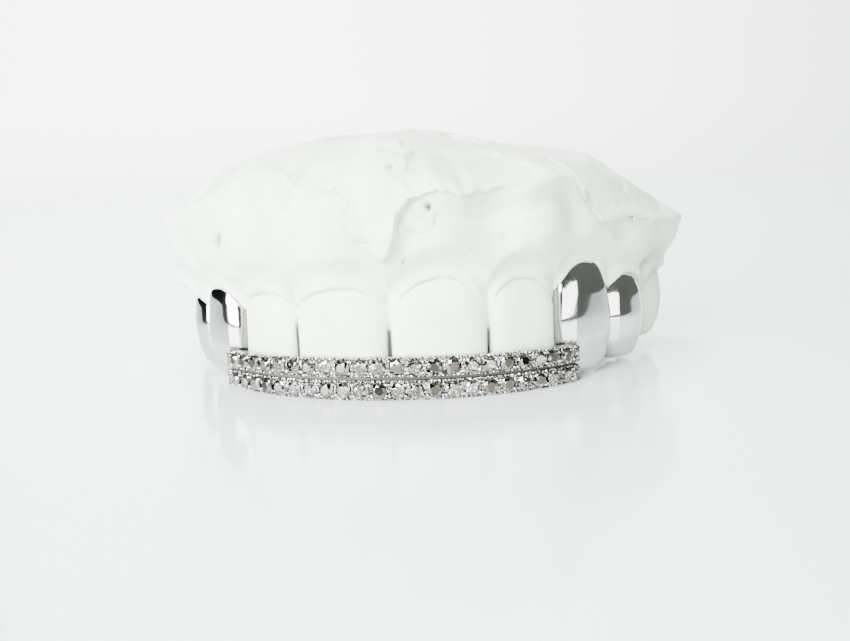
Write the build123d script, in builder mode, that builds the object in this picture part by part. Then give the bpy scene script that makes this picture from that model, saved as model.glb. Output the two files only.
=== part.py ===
from build123d import *

import os
from collections import namedtuple
from math import atan, copysign, cos, pi, radians, sin, sqrt, tan

# A grill tooth cover on the plaster cast that it was fitted to. The cast is the front part of an
# upper jaw, from second premolar to second premolar. It stands teeth down: +Z runs from the biting
# edges up to the gum, -Y is the front of the mouth, and the two sides mirror each other across X = 0.
# The metal is one soldered piece: two hollow caps on each side, joined by a bar that crosses the
# four front teeth and carries two rows of set stones. All sizes are in millimetres.

# Dental arch: the outermost line of the teeth passes through these two points on each side
canine_half_span = 16.0
canine_setback = 6.95
rear_half_span = 22.8
rear_setback = 18.2
cast_depth = 28.4

# Teeth in plaster, from the middle outwards
central_width = 9.15
central_depth = 6.8
central_height = 10.2
lateral_width = 7.15
lateral_depth = 6.2
lateral_height = 9.4
canine_width = 7.7
canine_depth = 7.8
canine_height = 9.9
canine_stand_out = 0.40
premolar_width = 6.9
premolar_depth = 8.6
premolar_height = 8.2
premolar_stand_out = 0.30
central_edge = 0.45
lateral_edge = 0.95
last_tooth_lift = 0.55
cusp_valley = 1.5

# Gum and plaster body
papilla_height = 6.3
papilla_setback = 2.7
gum_bulge = 1.60
side_gum_fullness = 1.25
left_gum_fullness = 0.85
root_ripple = 0.35
vestibule_height = 17.7
base_setback = 0.5
base_run = 9.0
base_curve = 1.5
rear_narrowing = 1.6
cast_height = 22.4
frenum_length = 5.4
frenum_width = 3.4
vault_height = 14.6
vault_front_wall = 7.4
vault_side_wall = 9.4
vault_slope_run = 6.2

# Metal
cap_wall = 0.45
fit_gap = 0.10
bar_overlap = 1.45
row_height = 1.84
row_groove = 0.22
end_taper = 0.15
rim_depth = 0.92
crest_depth = 1.28
plate_depth = 0.62
plate_edge = 0.16
band_back = 0.22

# Stones
stone_diameter = 1.46
stone_pitch = 1.58
stone_sink = 0.10
seat_gap = 0.02
crown_share = 0.15
girdle_share = 0.04
pavilion_angle = 49.0
crown_angle = 56.0
culet_share = 0.94
seat_depth_share = 1.12

Section = namedtuple("Section", "height width front back")
Tooth = namedtuple("Tooth", "along width depth height edge proud rows")
GumRow = namedtuple("GumRow", "rise setback bulge")
VaultRow = namedtuple("VaultRow", "rise run")
LinePoint = namedtuple("LinePoint", "along height")
SkyPoint = namedtuple("SkyPoint", "side height")

# Tooth sections: heights are shares of the tooth's height, widths of its width, and front and back
# are places between its outer face (0) and its inner face (1)
incisor_rows = [
    Section(0.00, 0.86, 0.08, 0.26),
    Section(0.08, 0.94, 0.03, 0.34),
    Section(0.42, 1.00, 0.00, 0.58),
    Section(0.74, 0.92, 0.02, 0.90),
    Section(1.00, 0.76, 0.09, 1.00),
    Section(1.25, 0.68, 0.14, 0.96),
]
canine_rows = [
    Section(0.00, 0.30, 0.20, 0.46),
    Section(0.04, 0.55, 0.12, 0.54),
    Section(0.13, 0.80, 0.05, 0.63),
    Section(0.32, 0.97, 0.00, 0.76),
    Section(0.56, 1.00, 0.00, 0.92),
    Section(0.80, 0.92, 0.03, 1.00),
    Section(1.00, 0.80, 0.09, 0.98),
    Section(1.25, 0.72, 0.14, 0.94),
]
premolar_rows = [
    Section(0.00, 0.42, 0.16, 0.82),
    Section(0.06, 0.68, 0.09, 0.88),
    Section(0.22, 0.92, 0.03, 0.95),
    Section(0.52, 1.00, 0.00, 1.00),
    Section(0.78, 0.92, 0.03, 0.98),
    Section(1.00, 0.80, 0.10, 0.92),
    Section(1.25, 0.72, 0.15, 0.88),
]

# Gum sections: rise from the papilla (0) to the vestibule line (1), with the shares of the papilla
# setback and of the gum bulge that hold there
gum_rows = [
    GumRow(0.00, 1.00, 0.00),
    GumRow(0.16, 0.50, 0.00),
    GumRow(0.34, 0.06, 0.10),
    GumRow(0.52, 0.00, 0.60),
    GumRow(0.76, 0.00, 0.95),
    GumRow(1.00, 0.00, 0.85),
    GumRow(1.50, 0.00, 0.85),
]

# Palate: rise as a share of the vault's height, and run as a share of the slope's run
vault_rows = [
    VaultRow(-0.10, 0.00),
    VaultRow(0.42, 0.04),
    VaultRow(0.74, 0.28),
    VaultRow(1.00, 1.00),
]

# Line where the gum ends and the broken base begins, from left to right: places along the arch as
# shares of its length, and heights as shares of the vestibule height
vestibule_line = [
    LinePoint(-1.22, 0.75),
    LinePoint(-0.87, 0.80),
    LinePoint(-0.69, 0.87),
    LinePoint(-0.47, 0.985),
    LinePoint(-0.27, 1.11),
    LinePoint(-0.16, 1.045),
    LinePoint(-0.05, 0.985),
    LinePoint(0.00, 1.00),
    LinePoint(0.05, 0.97),
    LinePoint(0.13, 1.03),
    LinePoint(0.18, 0.98),
    LinePoint(0.30, 1.02),
    LinePoint(0.42, 1.055),
    LinePoint(0.49, 0.89),
    LinePoint(0.54, 0.805),
    LinePoint(0.71, 0.77),
    LinePoint(0.84, 0.73),
    LinePoint(1.22, 0.69),
]

# Broken top edge of the cast, seen from the front: shares of the half width and of the height
skyline = [
    SkyPoint(-1.15, 0.55),
    SkyPoint(-0.93, 0.70),
    SkyPoint(-0.80, 0.76),
    SkyPoint(-0.66, 0.88),
    SkyPoint(-0.52, 0.935),
    SkyPoint(-0.30, 0.985),
    SkyPoint(-0.05, 1.00),
    SkyPoint(0.18, 0.95),
    SkyPoint(0.48, 0.89),
    SkyPoint(0.64, 0.85),
    SkyPoint(0.79, 0.73),
    SkyPoint(0.93, 0.60),
    SkyPoint(1.15, 0.46),
]

quartic_term = (rear_setback / rear_half_span**2 - canine_setback / canine_half_span**2) / (
    rear_half_span**2 - canine_half_span**2
)
square_term = canine_setback / canine_half_span**2 - quartic_term * canine_half_span**2
bar_height = 2 * row_height + row_groove
front_line = -(cast_depth - gum_bulge - frenum_width / 6) / 2
cap_grow = fit_gap + cap_wall
tip_height = cap_grow
last_edge = tip_height + last_tooth_lift
beyond = 2 * cast_depth


def arch_point(along):
    """Return x, y and slope of the arch line at a length along it from the middle."""
    x = 0.0
    walked = 0.0
    step = 0.05
    while walked < abs(along):
        slope = 2 * square_term * x + 4 * quartic_term * x**3
        part = min(step, abs(along) - walked)
        x += part / sqrt(1 + slope**2)
        walked += part
    y = square_term * x**2 + quartic_term * x**4
    slope = 2 * square_term * x + 4 * quartic_term * x**3
    side = copysign(1, along)
    return side * x, y + front_line, side * slope


def outward(along, reach):
    """Return the point that lies a distance outside the arch line, seen from above."""
    x, y, slope = arch_point(along)
    angle = atan(slope)
    return x + reach * sin(angle), y - reach * cos(angle)


def tooth_plane(along):
    """Plane of a tooth's sections: its x runs along the arch and its y into the mouth."""
    x, y, slope = arch_point(along)
    angle = atan(slope)
    return Plane(origin=(x, y, 0), x_dir=(cos(angle), sin(angle), 0), z_dir=(0, 0, 1))


def bar_plane(along):
    """Upright plane across the bar: its x points out of the mouth and its y up."""
    x, y, slope = arch_point(along)
    angle = atan(slope)
    return Plane(
        origin=(x, y, 0), x_dir=(sin(angle), -cos(angle), 0), z_dir=(-cos(angle), -sin(angle), 0)
    )


def lay_out_teeth():
    """List the plaster teeth of one side as distances along the arch."""
    sizes = [
        (central_width, central_depth, central_height, central_edge, 0, incisor_rows),
        (lateral_width, lateral_depth, lateral_height, lateral_edge, 0, incisor_rows),
        (canine_width, canine_depth, canine_height, tip_height, canine_stand_out, canine_rows),
        (premolar_width, premolar_depth, premolar_height, tip_height, premolar_stand_out, premolar_rows),
        (premolar_width, premolar_depth, premolar_height, last_edge, premolar_stand_out, premolar_rows),
    ]
    teeth = []
    start = 0.0
    for width, depth, height, edge, proud, rows in sizes:
        teeth.append(Tooth(start + width / 2, width, depth, height, edge, proud, rows))
        start += width
    return teeth


teeth = lay_out_teeth()
plain_teeth = [teeth[0], teeth[1], teeth[4]]
capped_teeth = [teeth[2], teeth[3]]
arch_length = teeth[4].along + teeth[4].width / 2
bar_reach = teeth[2].along - teeth[2].width / 2 + bar_overlap


def oval_points(width, front, back):
    """Points of a rounded tooth section, fuller on its outer side."""
    points = []
    count = 12
    middle = (front + back) / 2
    for step in range(count):
        turn = 2 * pi * (step + 0.5) / count
        power = 0.80 if sin(turn) < 0 else 0.95
        across = copysign(abs(cos(turn)) ** power, cos(turn)) * width / 2
        deep = copysign(abs(sin(turn)) ** power, sin(turn)) * (back - front) / 2
        points.append((across, middle + deep))
    return points


def tooth_form(tooth, side, grow):
    """One tooth with its root stub, grown outwards by a wall or a gap."""
    plane = tooth_plane(side * tooth.along)
    with BuildPart() as form:
        for row in tooth.rows:
            fade = max(0.0, 1 - row.height / tooth.rows[3].height)
            height = tooth.edge + row.height * tooth.height - grow * fade
            outline = oval_points(
                row.width * tooth.width + 2 * grow,
                row.front * tooth.depth - tooth.proud - grow,
                row.back * tooth.depth - tooth.proud + grow,
            )
            with BuildSketch(plane.offset(height)):
                with BuildLine():
                    Spline(*outline, periodic=True)
                make_face()
        loft()
        if tooth.rows is premolar_rows:
            radius = tooth.width / 2
            centre = tooth.edge + cusp_valley - radius
            with BuildSketch(Plane(origin=plane.origin, x_dir=plane.y_dir, z_dir=plane.x_dir)):
                with Locations((tooth.depth / 2, centre)):
                    Circle(radius - grow)
            extrude(amount=tooth.width, both=True, mode=Mode.SUBTRACT)
    return form.part


def both_sides(group, grow):
    """Grown forms of a group of teeth on both sides of the arch."""
    return [tooth_form(tooth, side, grow) for tooth in group for side in (-1, 1)]


def line_height(along):
    """Height of the vestibule line at a length along the arch."""
    share = along / arch_length
    for before, after in zip(vestibule_line, vestibule_line[1:]):
        if share <= after.along:
            part = (share - before.along) / (after.along - before.along)
            return vestibule_height * (before.height + part * (after.height - before.height))
    return vestibule_height * vestibule_line[-1].height


def base_setback_at(along, height):
    """How far the broken base has run back at a height above the vestibule line."""
    climb = max(0, height - line_height(along)) / (cast_height - vestibule_height)
    return base_run * min(climb, 1.1) ** base_curve


def gum_contour(offset, ripple, height=0):
    """Closed outline of the plaster body at one height, seen from above."""
    stations = []
    for tooth in teeth:
        stations.append((tooth.along, offset + ripple))
        stations.append((tooth.along + tooth.width / 2, offset - ripple))
    stations.append((arch_length + cast_depth / 4, offset - rear_narrowing))
    left = []
    right = []
    for along, reach in stations:
        rear = max(0, along - teeth[2].along) / (arch_length - teeth[2].along)
        fuller = reach + side_gum_fullness * min(1, rear)
        left_share = max(0, min(1, along / teeth[1].along, (arch_length - along) / premolar_width))
        left_fuller = fuller + left_gum_fullness * left_share
        right.append(outward(along, fuller - base_setback_at(along, height)))
        left.insert(0, outward(-along, left_fuller - base_setback_at(-along, height)))
    return left + [outward(0, offset - ripple - base_setback_at(0, height))] + right


def gum_block(grow):
    """Solid body above the teeth, up past the top, with the papillae as its lower edge."""
    span = vestibule_height - papilla_height
    with BuildPart() as block:
        for row in gum_rows:
            height = papilla_height + row.rise * span
            lowered = grow if row is gum_rows[0] else 0
            offset = row.bulge * gum_bulge - row.setback * papilla_setback + grow
            ripple = root_ripple * (1 - row.setback) * min(1, 2 - row.rise)
            points = gum_contour(offset, ripple)
            with BuildSketch(Plane.XY.offset(height - lowered)):
                with BuildLine():
                    Spline(*points)
                    Line(points[-1], points[0])
                make_face()
        loft()
    return block.part


def vault_form(shrink):
    """Hollow under the palate, open below and at the back."""
    with BuildPart() as vault:
        for row in vault_rows:
            points = []
            for share in (-1.25, -0.95, -0.65, -0.35, 0, 0.35, 0.65, 0.95, 1.25):
                wall = vault_front_wall + (vault_side_wall - vault_front_wall) * min(1, abs(share))
                inset = wall + row.run * vault_slope_run + shrink
                points.append(outward(share * arch_length, -inset))
            with BuildSketch(Plane.XY.offset(row.rise * vault_height - shrink)):
                with BuildLine():
                    Spline(*points)
                    Line(points[-1], points[0])
                make_face()
        loft()
    return vault.part


def front_prism(points, top):
    """Block seen from the front as the area between a line of points and a level."""
    with BuildPart() as prism:
        with BuildSketch(Plane.XZ):
            with BuildLine():
                Polyline(*points, (points[-1][0], top), (points[0][0], top), close=True)
            make_face()
        extrude(amount=beyond, both=True)
    return prism.part


def sky_prism():
    """Everything above the cast's broken top edge."""
    half = rear_half_span + gum_bulge + papilla_setback
    points = [(point.side * half, point.height * cast_height) for point in skyline]
    return front_prism(points, 2 * cast_height)


def vestibule_prism():
    """Everything above the line where the gum ends and the rough base begins."""
    points = []
    for point in vestibule_line:
        x, y = outward(point.along * arch_length, gum_bulge)
        points.append((x, point.height * vestibule_height))
    points.insert(0, (-beyond, points[0][1]))
    points.append((beyond, points[-1][1]))
    return front_prism(points, 2 * cast_height)


def frenum_form():
    """Ridge of the lip's frenum, in the middle below the vestibule line."""
    x, y = outward(0, gum_bulge + frenum_width / 6 - frenum_width / 2)
    with BuildPart() as ridge:
        with Locations((x, y, vestibule_height - frenum_length)):
            Cone(
                frenum_width / 9,
                frenum_width / 2,
                frenum_length,
                align=(Align.CENTER, Align.CENTER, Align.MIN),
            )
    return ridge.part


def base_core():
    """Block that stays standing above the vestibule line and runs back as it rises."""
    low = vestibule_height * min(point.height for point in vestibule_line)
    with BuildPart() as core:
        for share in (0, 0.28, 0.55, 0.78, 1.05):
            height = low + share * (cast_height - low)
            points = gum_contour(gum_bulge - base_setback, 0, height)
            with BuildSketch(Plane.XY.offset(height)):
                with BuildLine():
                    Spline(*points)
                    Line(points[-1], points[0])
                make_face()
        loft()
    return core.part


def gum_form(grow):
    """Plaster body with its palate, grown outwards by a gap."""
    with BuildPart() as gum:
        add(gum_block(grow))
        add(vault_form(grow), mode=Mode.SUBTRACT)
    return gum.part


def make_cast():
    """Gum, palate and ten teeth, with a rough base set back above the vestibule line."""
    with BuildPart() as rough:
        add(vestibule_prism())
        add(base_core(), mode=Mode.SUBTRACT)
    with BuildPart() as cast:
        add(gum_block(0))
        add(frenum_form())
        add(rough.part, mode=Mode.SUBTRACT)
        add(sky_prism(), mode=Mode.SUBTRACT)
        add(vault_form(0), mode=Mode.SUBTRACT)
        with BuildSketch(Plane.XY):
            with Locations((0, cast_depth + front_line + beyond / 2)):
                Rectangle(2 * beyond, beyond)
        extrude(amount=beyond, mode=Mode.SUBTRACT)
        add(both_sides(teeth, 0))
    return cast.part


def taper_at(along):
    """Share of the full height that the bar has at a place along the arch."""
    return 1 - end_taper * (along / bar_reach) ** 2


def bar_stations():
    """Evenly spaced places of the bar's sections."""
    half_count = 6
    return [bar_reach * step / half_count for step in range(-half_count, half_count + 1)]


def band_form(row):
    """One half-round band along the arch: row 0 is the lower one."""
    with BuildPart() as band:
        for along in bar_stations():
            taper = taper_at(along)
            low = row * (row_height + row_groove) * taper
            high = low + row_height * taper
            with BuildSketch(bar_plane(along)):
                with BuildLine():
                    Line((band_back, low), (rim_depth, low))
                    ThreePointArc((rim_depth, low), (crest_depth, (low + high) / 2), (rim_depth, high))
                    Polyline((rim_depth, high), (band_back, high), (band_back, low))
                make_face()
        loft()
    return band.part


def plate_form():
    """Thin plate behind both bands, which closes the groove between them."""
    with BuildPart() as plate:
        for along in bar_stations():
            height = bar_height * taper_at(along)
            with BuildSketch(bar_plane(along)):
                with Locations(((fit_gap + plate_depth) / 2, height / 2)):
                    Rectangle(plate_depth - fit_gap, height - 2 * plate_edge)
        loft()
    return plate.part


def stone_stations():
    """Places of the stones of one row along the arch, from the middle outwards on each side."""
    places = []
    along = stone_pitch / 2
    while along + stone_pitch * taper_at(along) / 2 < bar_reach - plate_edge:
        places.append(along)
        along += stone_pitch * taper_at(along)
    return sorted(places + [-place for place in places])


def stone_plane(along, row):
    """Plane of a stone's girdle, facing out of the mouth."""
    taper = taper_at(along)
    base = bar_plane(along)
    height = (row * (row_height + row_groove) + row_height / 2) * taper
    return Plane(
        origin=base.origin + base.x_dir * (crest_depth - stone_sink) + Vector(0, 0, height),
        x_dir=(0, 0, 1),
        z_dir=base.x_dir,
    )


def pavilion_depth(radius):
    """Depth at which the eight pavilion facets of a stone meet."""
    return radius * cos(pi / 8) / tan(radians(pavilion_angle))


def cut_stone(diameter):
    """Eight-sided brilliant: a table, eight crown facets and eight pavilion facets."""
    radius = diameter / 2
    girdle = girdle_share * diameter
    with BuildPart() as stone:
        with BuildSketch(Plane.XY):
            RegularPolygon(radius, 8)
        extrude(amount=crown_share * diameter, taper=crown_angle)
        with BuildSketch(Plane.XY):
            RegularPolygon(radius, 8)
        extrude(amount=-girdle)
        with BuildSketch(Plane.XY.offset(-girdle)):
            RegularPolygon(radius, 8)
        extrude(amount=-culet_share * pavilion_depth(radius), taper=pavilion_angle)
    return stone.part


def stone_seat(diameter):
    """Round seat that takes one stone, open towards the front."""
    radius = diameter / 2 + seat_gap
    girdle = girdle_share * diameter + seat_gap
    depth = pavilion_depth(radius) * seat_depth_share
    with BuildPart() as seat:
        with Locations((0, 0, -girdle)):
            Cylinder(radius, girdle + diameter, align=(Align.CENTER, Align.CENTER, Align.MIN))
        with Locations((0, 0, -girdle)):
            Cone(seat_gap, radius, depth, align=(Align.CENTER, Align.CENTER, Align.MAX))
    return seat.part


def make_bar():
    """Plate and both bands, with a seat for every stone."""
    seats = []
    for row in (0, 1):
        for along in stone_stations():
            seat = stone_seat(stone_diameter * taper_at(along))
            seats.append(stone_plane(along, row).location * seat)
    with BuildPart() as bar:
        add(plate_form())
        add(band_form(0))
        add(band_form(1))
        add(both_sides(teeth[:3], fit_gap), mode=Mode.SUBTRACT)
        add(seats, mode=Mode.SUBTRACT)
    return bar.part


def make_caps(side, gum):
    """Two joined hollow caps on one side, open towards the gum."""
    with BuildPart() as caps:
        for tooth in capped_teeth:
            add(tooth_form(tooth, side, cap_grow))
        for tooth in teeth[1:]:
            add(tooth_form(tooth, side, fit_gap), mode=Mode.SUBTRACT)
        add(gum, mode=Mode.SUBTRACT)
    return caps.part.solids().sort_by(SortBy.VOLUME)[-1]


def make_grill():
    """Caps and stone bar in one piece, cleared of every tooth and of the gum."""
    gum = gum_form(fit_gap)
    with BuildPart() as grill:
        add(make_bar())
        for side in (-1, 1):
            add(make_caps(side, gum))
    return grill.part


def make_stones(row):
    """All the stones of one row, each loose in its own seat."""
    unit = cut_stone(1)
    placed = []
    for along in stone_stations():
        sized = scale(unit, by=stone_diameter * taper_at(along))
        placed.append(stone_plane(along, row).location * sized)
    with BuildPart() as stones:
        add(placed)
    return stones.part


os.makedirs("parts", exist_ok=True)

dental_cast = make_cast()
dental_cast.label = "dental_cast"
export_step(dental_cast, "parts/dental_cast.step")

grill_frame = make_grill()
grill_frame.label = "grill_frame"
export_step(grill_frame, "parts/grill_frame.step")

lower_stones = make_stones(0)
lower_stones.label = "lower_stones"
export_step(lower_stones, "parts/lower_stones.step")

upper_stones = make_stones(1)
upper_stones.label = "upper_stones"
export_step(upper_stones, "parts/upper_stones.step")
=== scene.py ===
import bpy
import bmesh
import math
import numpy as np
from mathutils import Matrix, Vector


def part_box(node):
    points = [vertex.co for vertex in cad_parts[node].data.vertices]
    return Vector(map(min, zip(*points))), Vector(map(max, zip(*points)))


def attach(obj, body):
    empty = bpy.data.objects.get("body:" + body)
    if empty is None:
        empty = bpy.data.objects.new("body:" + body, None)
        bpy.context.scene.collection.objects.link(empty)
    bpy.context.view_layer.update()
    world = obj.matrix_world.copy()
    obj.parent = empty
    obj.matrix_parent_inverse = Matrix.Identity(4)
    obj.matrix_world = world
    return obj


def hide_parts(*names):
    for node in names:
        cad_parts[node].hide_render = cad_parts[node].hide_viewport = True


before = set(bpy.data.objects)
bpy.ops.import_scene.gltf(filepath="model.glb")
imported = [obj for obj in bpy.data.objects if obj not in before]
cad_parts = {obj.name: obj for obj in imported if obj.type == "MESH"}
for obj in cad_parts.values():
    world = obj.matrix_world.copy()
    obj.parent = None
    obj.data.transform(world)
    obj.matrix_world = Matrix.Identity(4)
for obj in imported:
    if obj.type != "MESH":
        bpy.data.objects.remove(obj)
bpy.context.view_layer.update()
mm = 0.001

# The dental arch, in mm. It repeats the line that the metal and the teeth follow in the frame.
arch = {
    "canineSpan": 16.0, "canineBack": 6.95, "rearSpan": 22.8, "rearBack": 18.2,
    "bandFront": 1.28,  # how far the bar's crest stands in front of the arch line
    "end": 46, "stations": 461, "batch": 8000,  # the line's length each way, its points, places worked out at once
    "tableStep": 0.12, "tableSpan": ((-30, 30.01), (-16.5, 16.6)),  # a table of both over the cast, x and y
}
barBox = [[c / mm for c in corner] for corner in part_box("grill_frame")]
archFront = barBox[0][1] + arch["bandFront"]  # y of the arch line in the middle
quartic = (arch["rearBack"] / arch["rearSpan"] ** 2 - arch["canineBack"] / arch["canineSpan"] ** 2) / (
    arch["rearSpan"] ** 2 - arch["canineSpan"] ** 2)
square = arch["canineBack"] / arch["canineSpan"] ** 2 - quartic * arch["canineSpan"] ** 2
halfX = np.linspace(0, 34, 3401)  # half of the line, every 0.01 mm across
halfY = square * halfX ** 2 + quartic * halfX ** 4
halfLength = np.concatenate([[0], np.cumsum(np.hypot(np.diff(halfX), np.diff(halfY)))])


def archAt(along):
    # x, y and heading of the arch line, at lengths along it from the middle, in mm
    along = np.asarray(along, float)
    x = np.interp(np.abs(along), halfLength, halfX)
    slope = 2 * square * x + 4 * quartic * x ** 3
    side = np.where(along < 0, -1.0, 1.0)
    return side * x, archFront + square * x ** 2 + quartic * x ** 4, side * np.arctan(slope)


def outward(along, reach):
    # The point that lies outside the arch line by a distance, seen from above
    x, y, turn = archAt(along)
    return x + reach * np.sin(turn), y - reach * np.cos(turn)


def toArch(points):
    # Turns x, y in mm into length along the arch and distance outside it
    stations = np.linspace(-arch["end"], arch["end"], arch["stations"])
    x, y, turn = archAt(stations)
    along, reach = np.empty(len(points)), np.empty(len(points))
    for start in range(0, len(points), arch["batch"]):
        batch = slice(start, start + arch["batch"])
        part = points[batch]
        guess = stations[((part[:, 0:1] - x) ** 2 + (part[:, 1:2] - y) ** 2).argmin(1)]
        for step in range(2):
            px, py, heading = archAt(guess)
            dx, dy = part[:, 0] - px, part[:, 1] - py
            reach[batch] = dx * np.sin(heading) - dy * np.cos(heading)
            guess = guess + dx * np.cos(heading) + dy * np.sin(heading)
        along[batch] = guess
    return along, reach


def linkObject(name, data):
    thing = bpy.data.objects.new(name, data)
    bpy.context.scene.collection.objects.link(thing)
    return thing


shot = {
    "yaw": 9.4, "lift": 13.9, "roll": 2.8,  # degrees, as the photo was taken
    "distance": 110.0,  # mm from the middle of the bar's lower front edge
    "focal": 1256.0,  # pixels, for an image 850 wide
    "barMiddle": (388.7, 401.5),  # pixel of that point in the photo
    "width": 850, "height": 641, "sensor": 36.0,
}


def makeCamera():
    yaw, lift, roll = (math.radians(shot[k]) for k in ("yaw", "lift", "roll"))
    back = Vector((math.sin(yaw) * math.cos(lift), -math.cos(yaw) * math.cos(lift), math.sin(lift)))
    right = Vector((math.cos(yaw), math.sin(yaw), 0))
    up = back.cross(right)
    aim = Vector((0, archFront - arch["bandFront"], 0)) * mm
    rolledRight = right * math.cos(roll) - up * math.sin(roll)
    rolledUp = right * math.sin(roll) + up * math.cos(roll)
    data = bpy.data.cameras.new("photoCamera")
    data.sensor_width = shot["sensor"]
    data.lens = shot["focal"] / shot["width"] * shot["sensor"]
    data.shift_x = (shot["width"] / 2 - shot["barMiddle"][0]) / shot["width"]
    data.shift_y = (shot["barMiddle"][1] - shot["height"] / 2) / shot["width"]
    data.clip_start = 0.005
    data.clip_end = 20
    camera = linkObject("photoCamera", data)
    place = Matrix((rolledRight, rolledUp, back)).transposed().to_4x4()
    place.translation = aim + back * shot["distance"] * mm
    camera.matrix_world = place
    bpy.context.scene.camera = camera


makeCamera()
print("camera placed")


def srgb(code):
    # sRGB hex to a linear colour
    parts = [int(code[i:i + 2], 16) / 255 for i in (1, 3, 5)]
    return tuple(p / 12.92 if p <= 0.04045 else ((p + 0.055) / 1.055) ** 2.4 for p in parts) + (1,)


def addNode(tree, kind, settings=None, inputs=None, links=None):
    # Adds one node, with its settings, fixed inputs and linked inputs
    node = tree.nodes.new(kind)
    for key, value in (settings or {}).items():
        setattr(node, key, value)
    for key, value in (inputs or {}).items():
        node.inputs[key].default_value = value
    for key, source in (links or {}).items():
        tree.links.new(source, node.inputs[key])
    return node


def startMaterial(name, display):
    material = bpy.data.materials.new(name)
    material.use_nodes = True
    material.diffuse_color = srgb(display)
    tree = material.node_tree
    tree.nodes.clear()
    out = addNode(tree, "ShaderNodeOutputMaterial")
    spot = addNode(tree, "ShaderNodeTexCoord").outputs["Object"]
    return material, tree, out, spot


def ramp(tree, source, stops):
    # Colour ramp with (place, hex) stops
    node = addNode(tree, "ShaderNodeValToRGB", links={"Fac": source})
    while len(node.color_ramp.elements) < len(stops):
        node.color_ramp.elements.new(0.5)
    for element, (place, code) in zip(node.color_ramp.elements, stops):
        element.position = place
        element.color = srgb(code)
    return node.outputs["Color"]


def span(tree, source, low, high, toLow, toHigh):
    # Maps a value from one range to another
    return addNode(tree, "ShaderNodeMapRange", inputs={1: low, 2: high, 3: toLow, 4: toHigh},
                   links={0: source}).outputs[0]


plasterLook = {
    # line and gap are colours of painted shade: grey in creases and pits, near black between the teeth
    "light": "#D8EAD2", "shade": "#C9DBC3", "line": "#9AA894", "gap": "#2F332B",
    "grain": 0.16, "cloud": 5.0, "bubble": 1.1,  # mm: set crystals, drifts of colour, air bubbles
}


def plasterMaterial():
    # Type III dental stone, poured and air dried: matt, faintly green white, with a fine set grain
    # and the odd air bubble. Rough and slightly powdery, so highlights are broad and weak.
    material, tree, out, spot = startMaterial("dentalStonePlaster", plasterLook["light"])
    cloud = addNode(tree, "ShaderNodeTexNoise", inputs={"Scale": 1 / (plasterLook["cloud"] * mm), "Detail": 3},
                    links={"Vector": spot}).outputs["Fac"]
    grain = addNode(tree, "ShaderNodeTexNoise", inputs={"Scale": 1 / (plasterLook["grain"] * mm), "Detail": 4,
                    "Roughness": 0.65}, links={"Vector": spot}).outputs["Fac"]
    bubbles = addNode(tree, "ShaderNodeTexVoronoi", inputs={"Scale": 1 / (plasterLook["bubble"] * mm)},
                      links={"Vector": spot}).outputs["Distance"]
    pin = span(tree, bubbles, 0.03, 0.075, 1.0, 0.0)
    base = ramp(tree, cloud, [(0.35, plasterLook["shade"]), (0.62, plasterLook["light"])])
    # Painted shade, read from a point attribute, darkens creases, pits, patches and the gaps between the teeth
    paint = addNode(tree, "ShaderNodeAttribute", {"attribute_name": "plasterShade"}).outputs["Fac"]
    shadeTint = ramp(tree, paint, [(0.0, plasterLook["line"]), (0.5, plasterLook["line"]), (1.0, plasterLook["gap"])])
    lined = addNode(tree, "ShaderNodeMix", {"data_type": "RGBA"}, None,
                    {"Factor": paint, "A": base, "B": shadeTint}).outputs["Result"]
    height = addNode(tree, "ShaderNodeMath", {"operation": "SUBTRACT"}, links={0: grain, 1: pin}).outputs[0]
    bump = addNode(tree, "ShaderNodeBump", inputs={"Strength": 0.35, "Distance": 0.06 * mm},
                   links={"Height": height}).outputs["Normal"]
    rough = span(tree, grain, 0.3, 0.7, 0.62, 0.82)
    shader = addNode(tree, "ShaderNodeBsdfPrincipled", inputs={"IOR": 1.52, "Subsurface Weight": 0.12,
                     "Subsurface Radius": (1.0, 1.0, 0.9), "Subsurface Scale": 0.6 * mm},
                     links={"Base Color": lined, "Roughness": rough, "Normal": bump})
    tree.links.new(shader.outputs[0], out.inputs[0])
    return material


goldLook = {
    "metal": "#D0D2D0", "shade": "#BEC1BF",
    "ripple": 3.2, "scratch": 0.05,  # mm: slow waves left by hand polishing, hairlines from the buff
    "metalShade": [(0.0, "#D2D2D0"), (0.45, "#2B2D28"), (0.75, "#666A5E"), (1.0, "#5B5F54")],  # from bare metal to full painted shade
}


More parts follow.
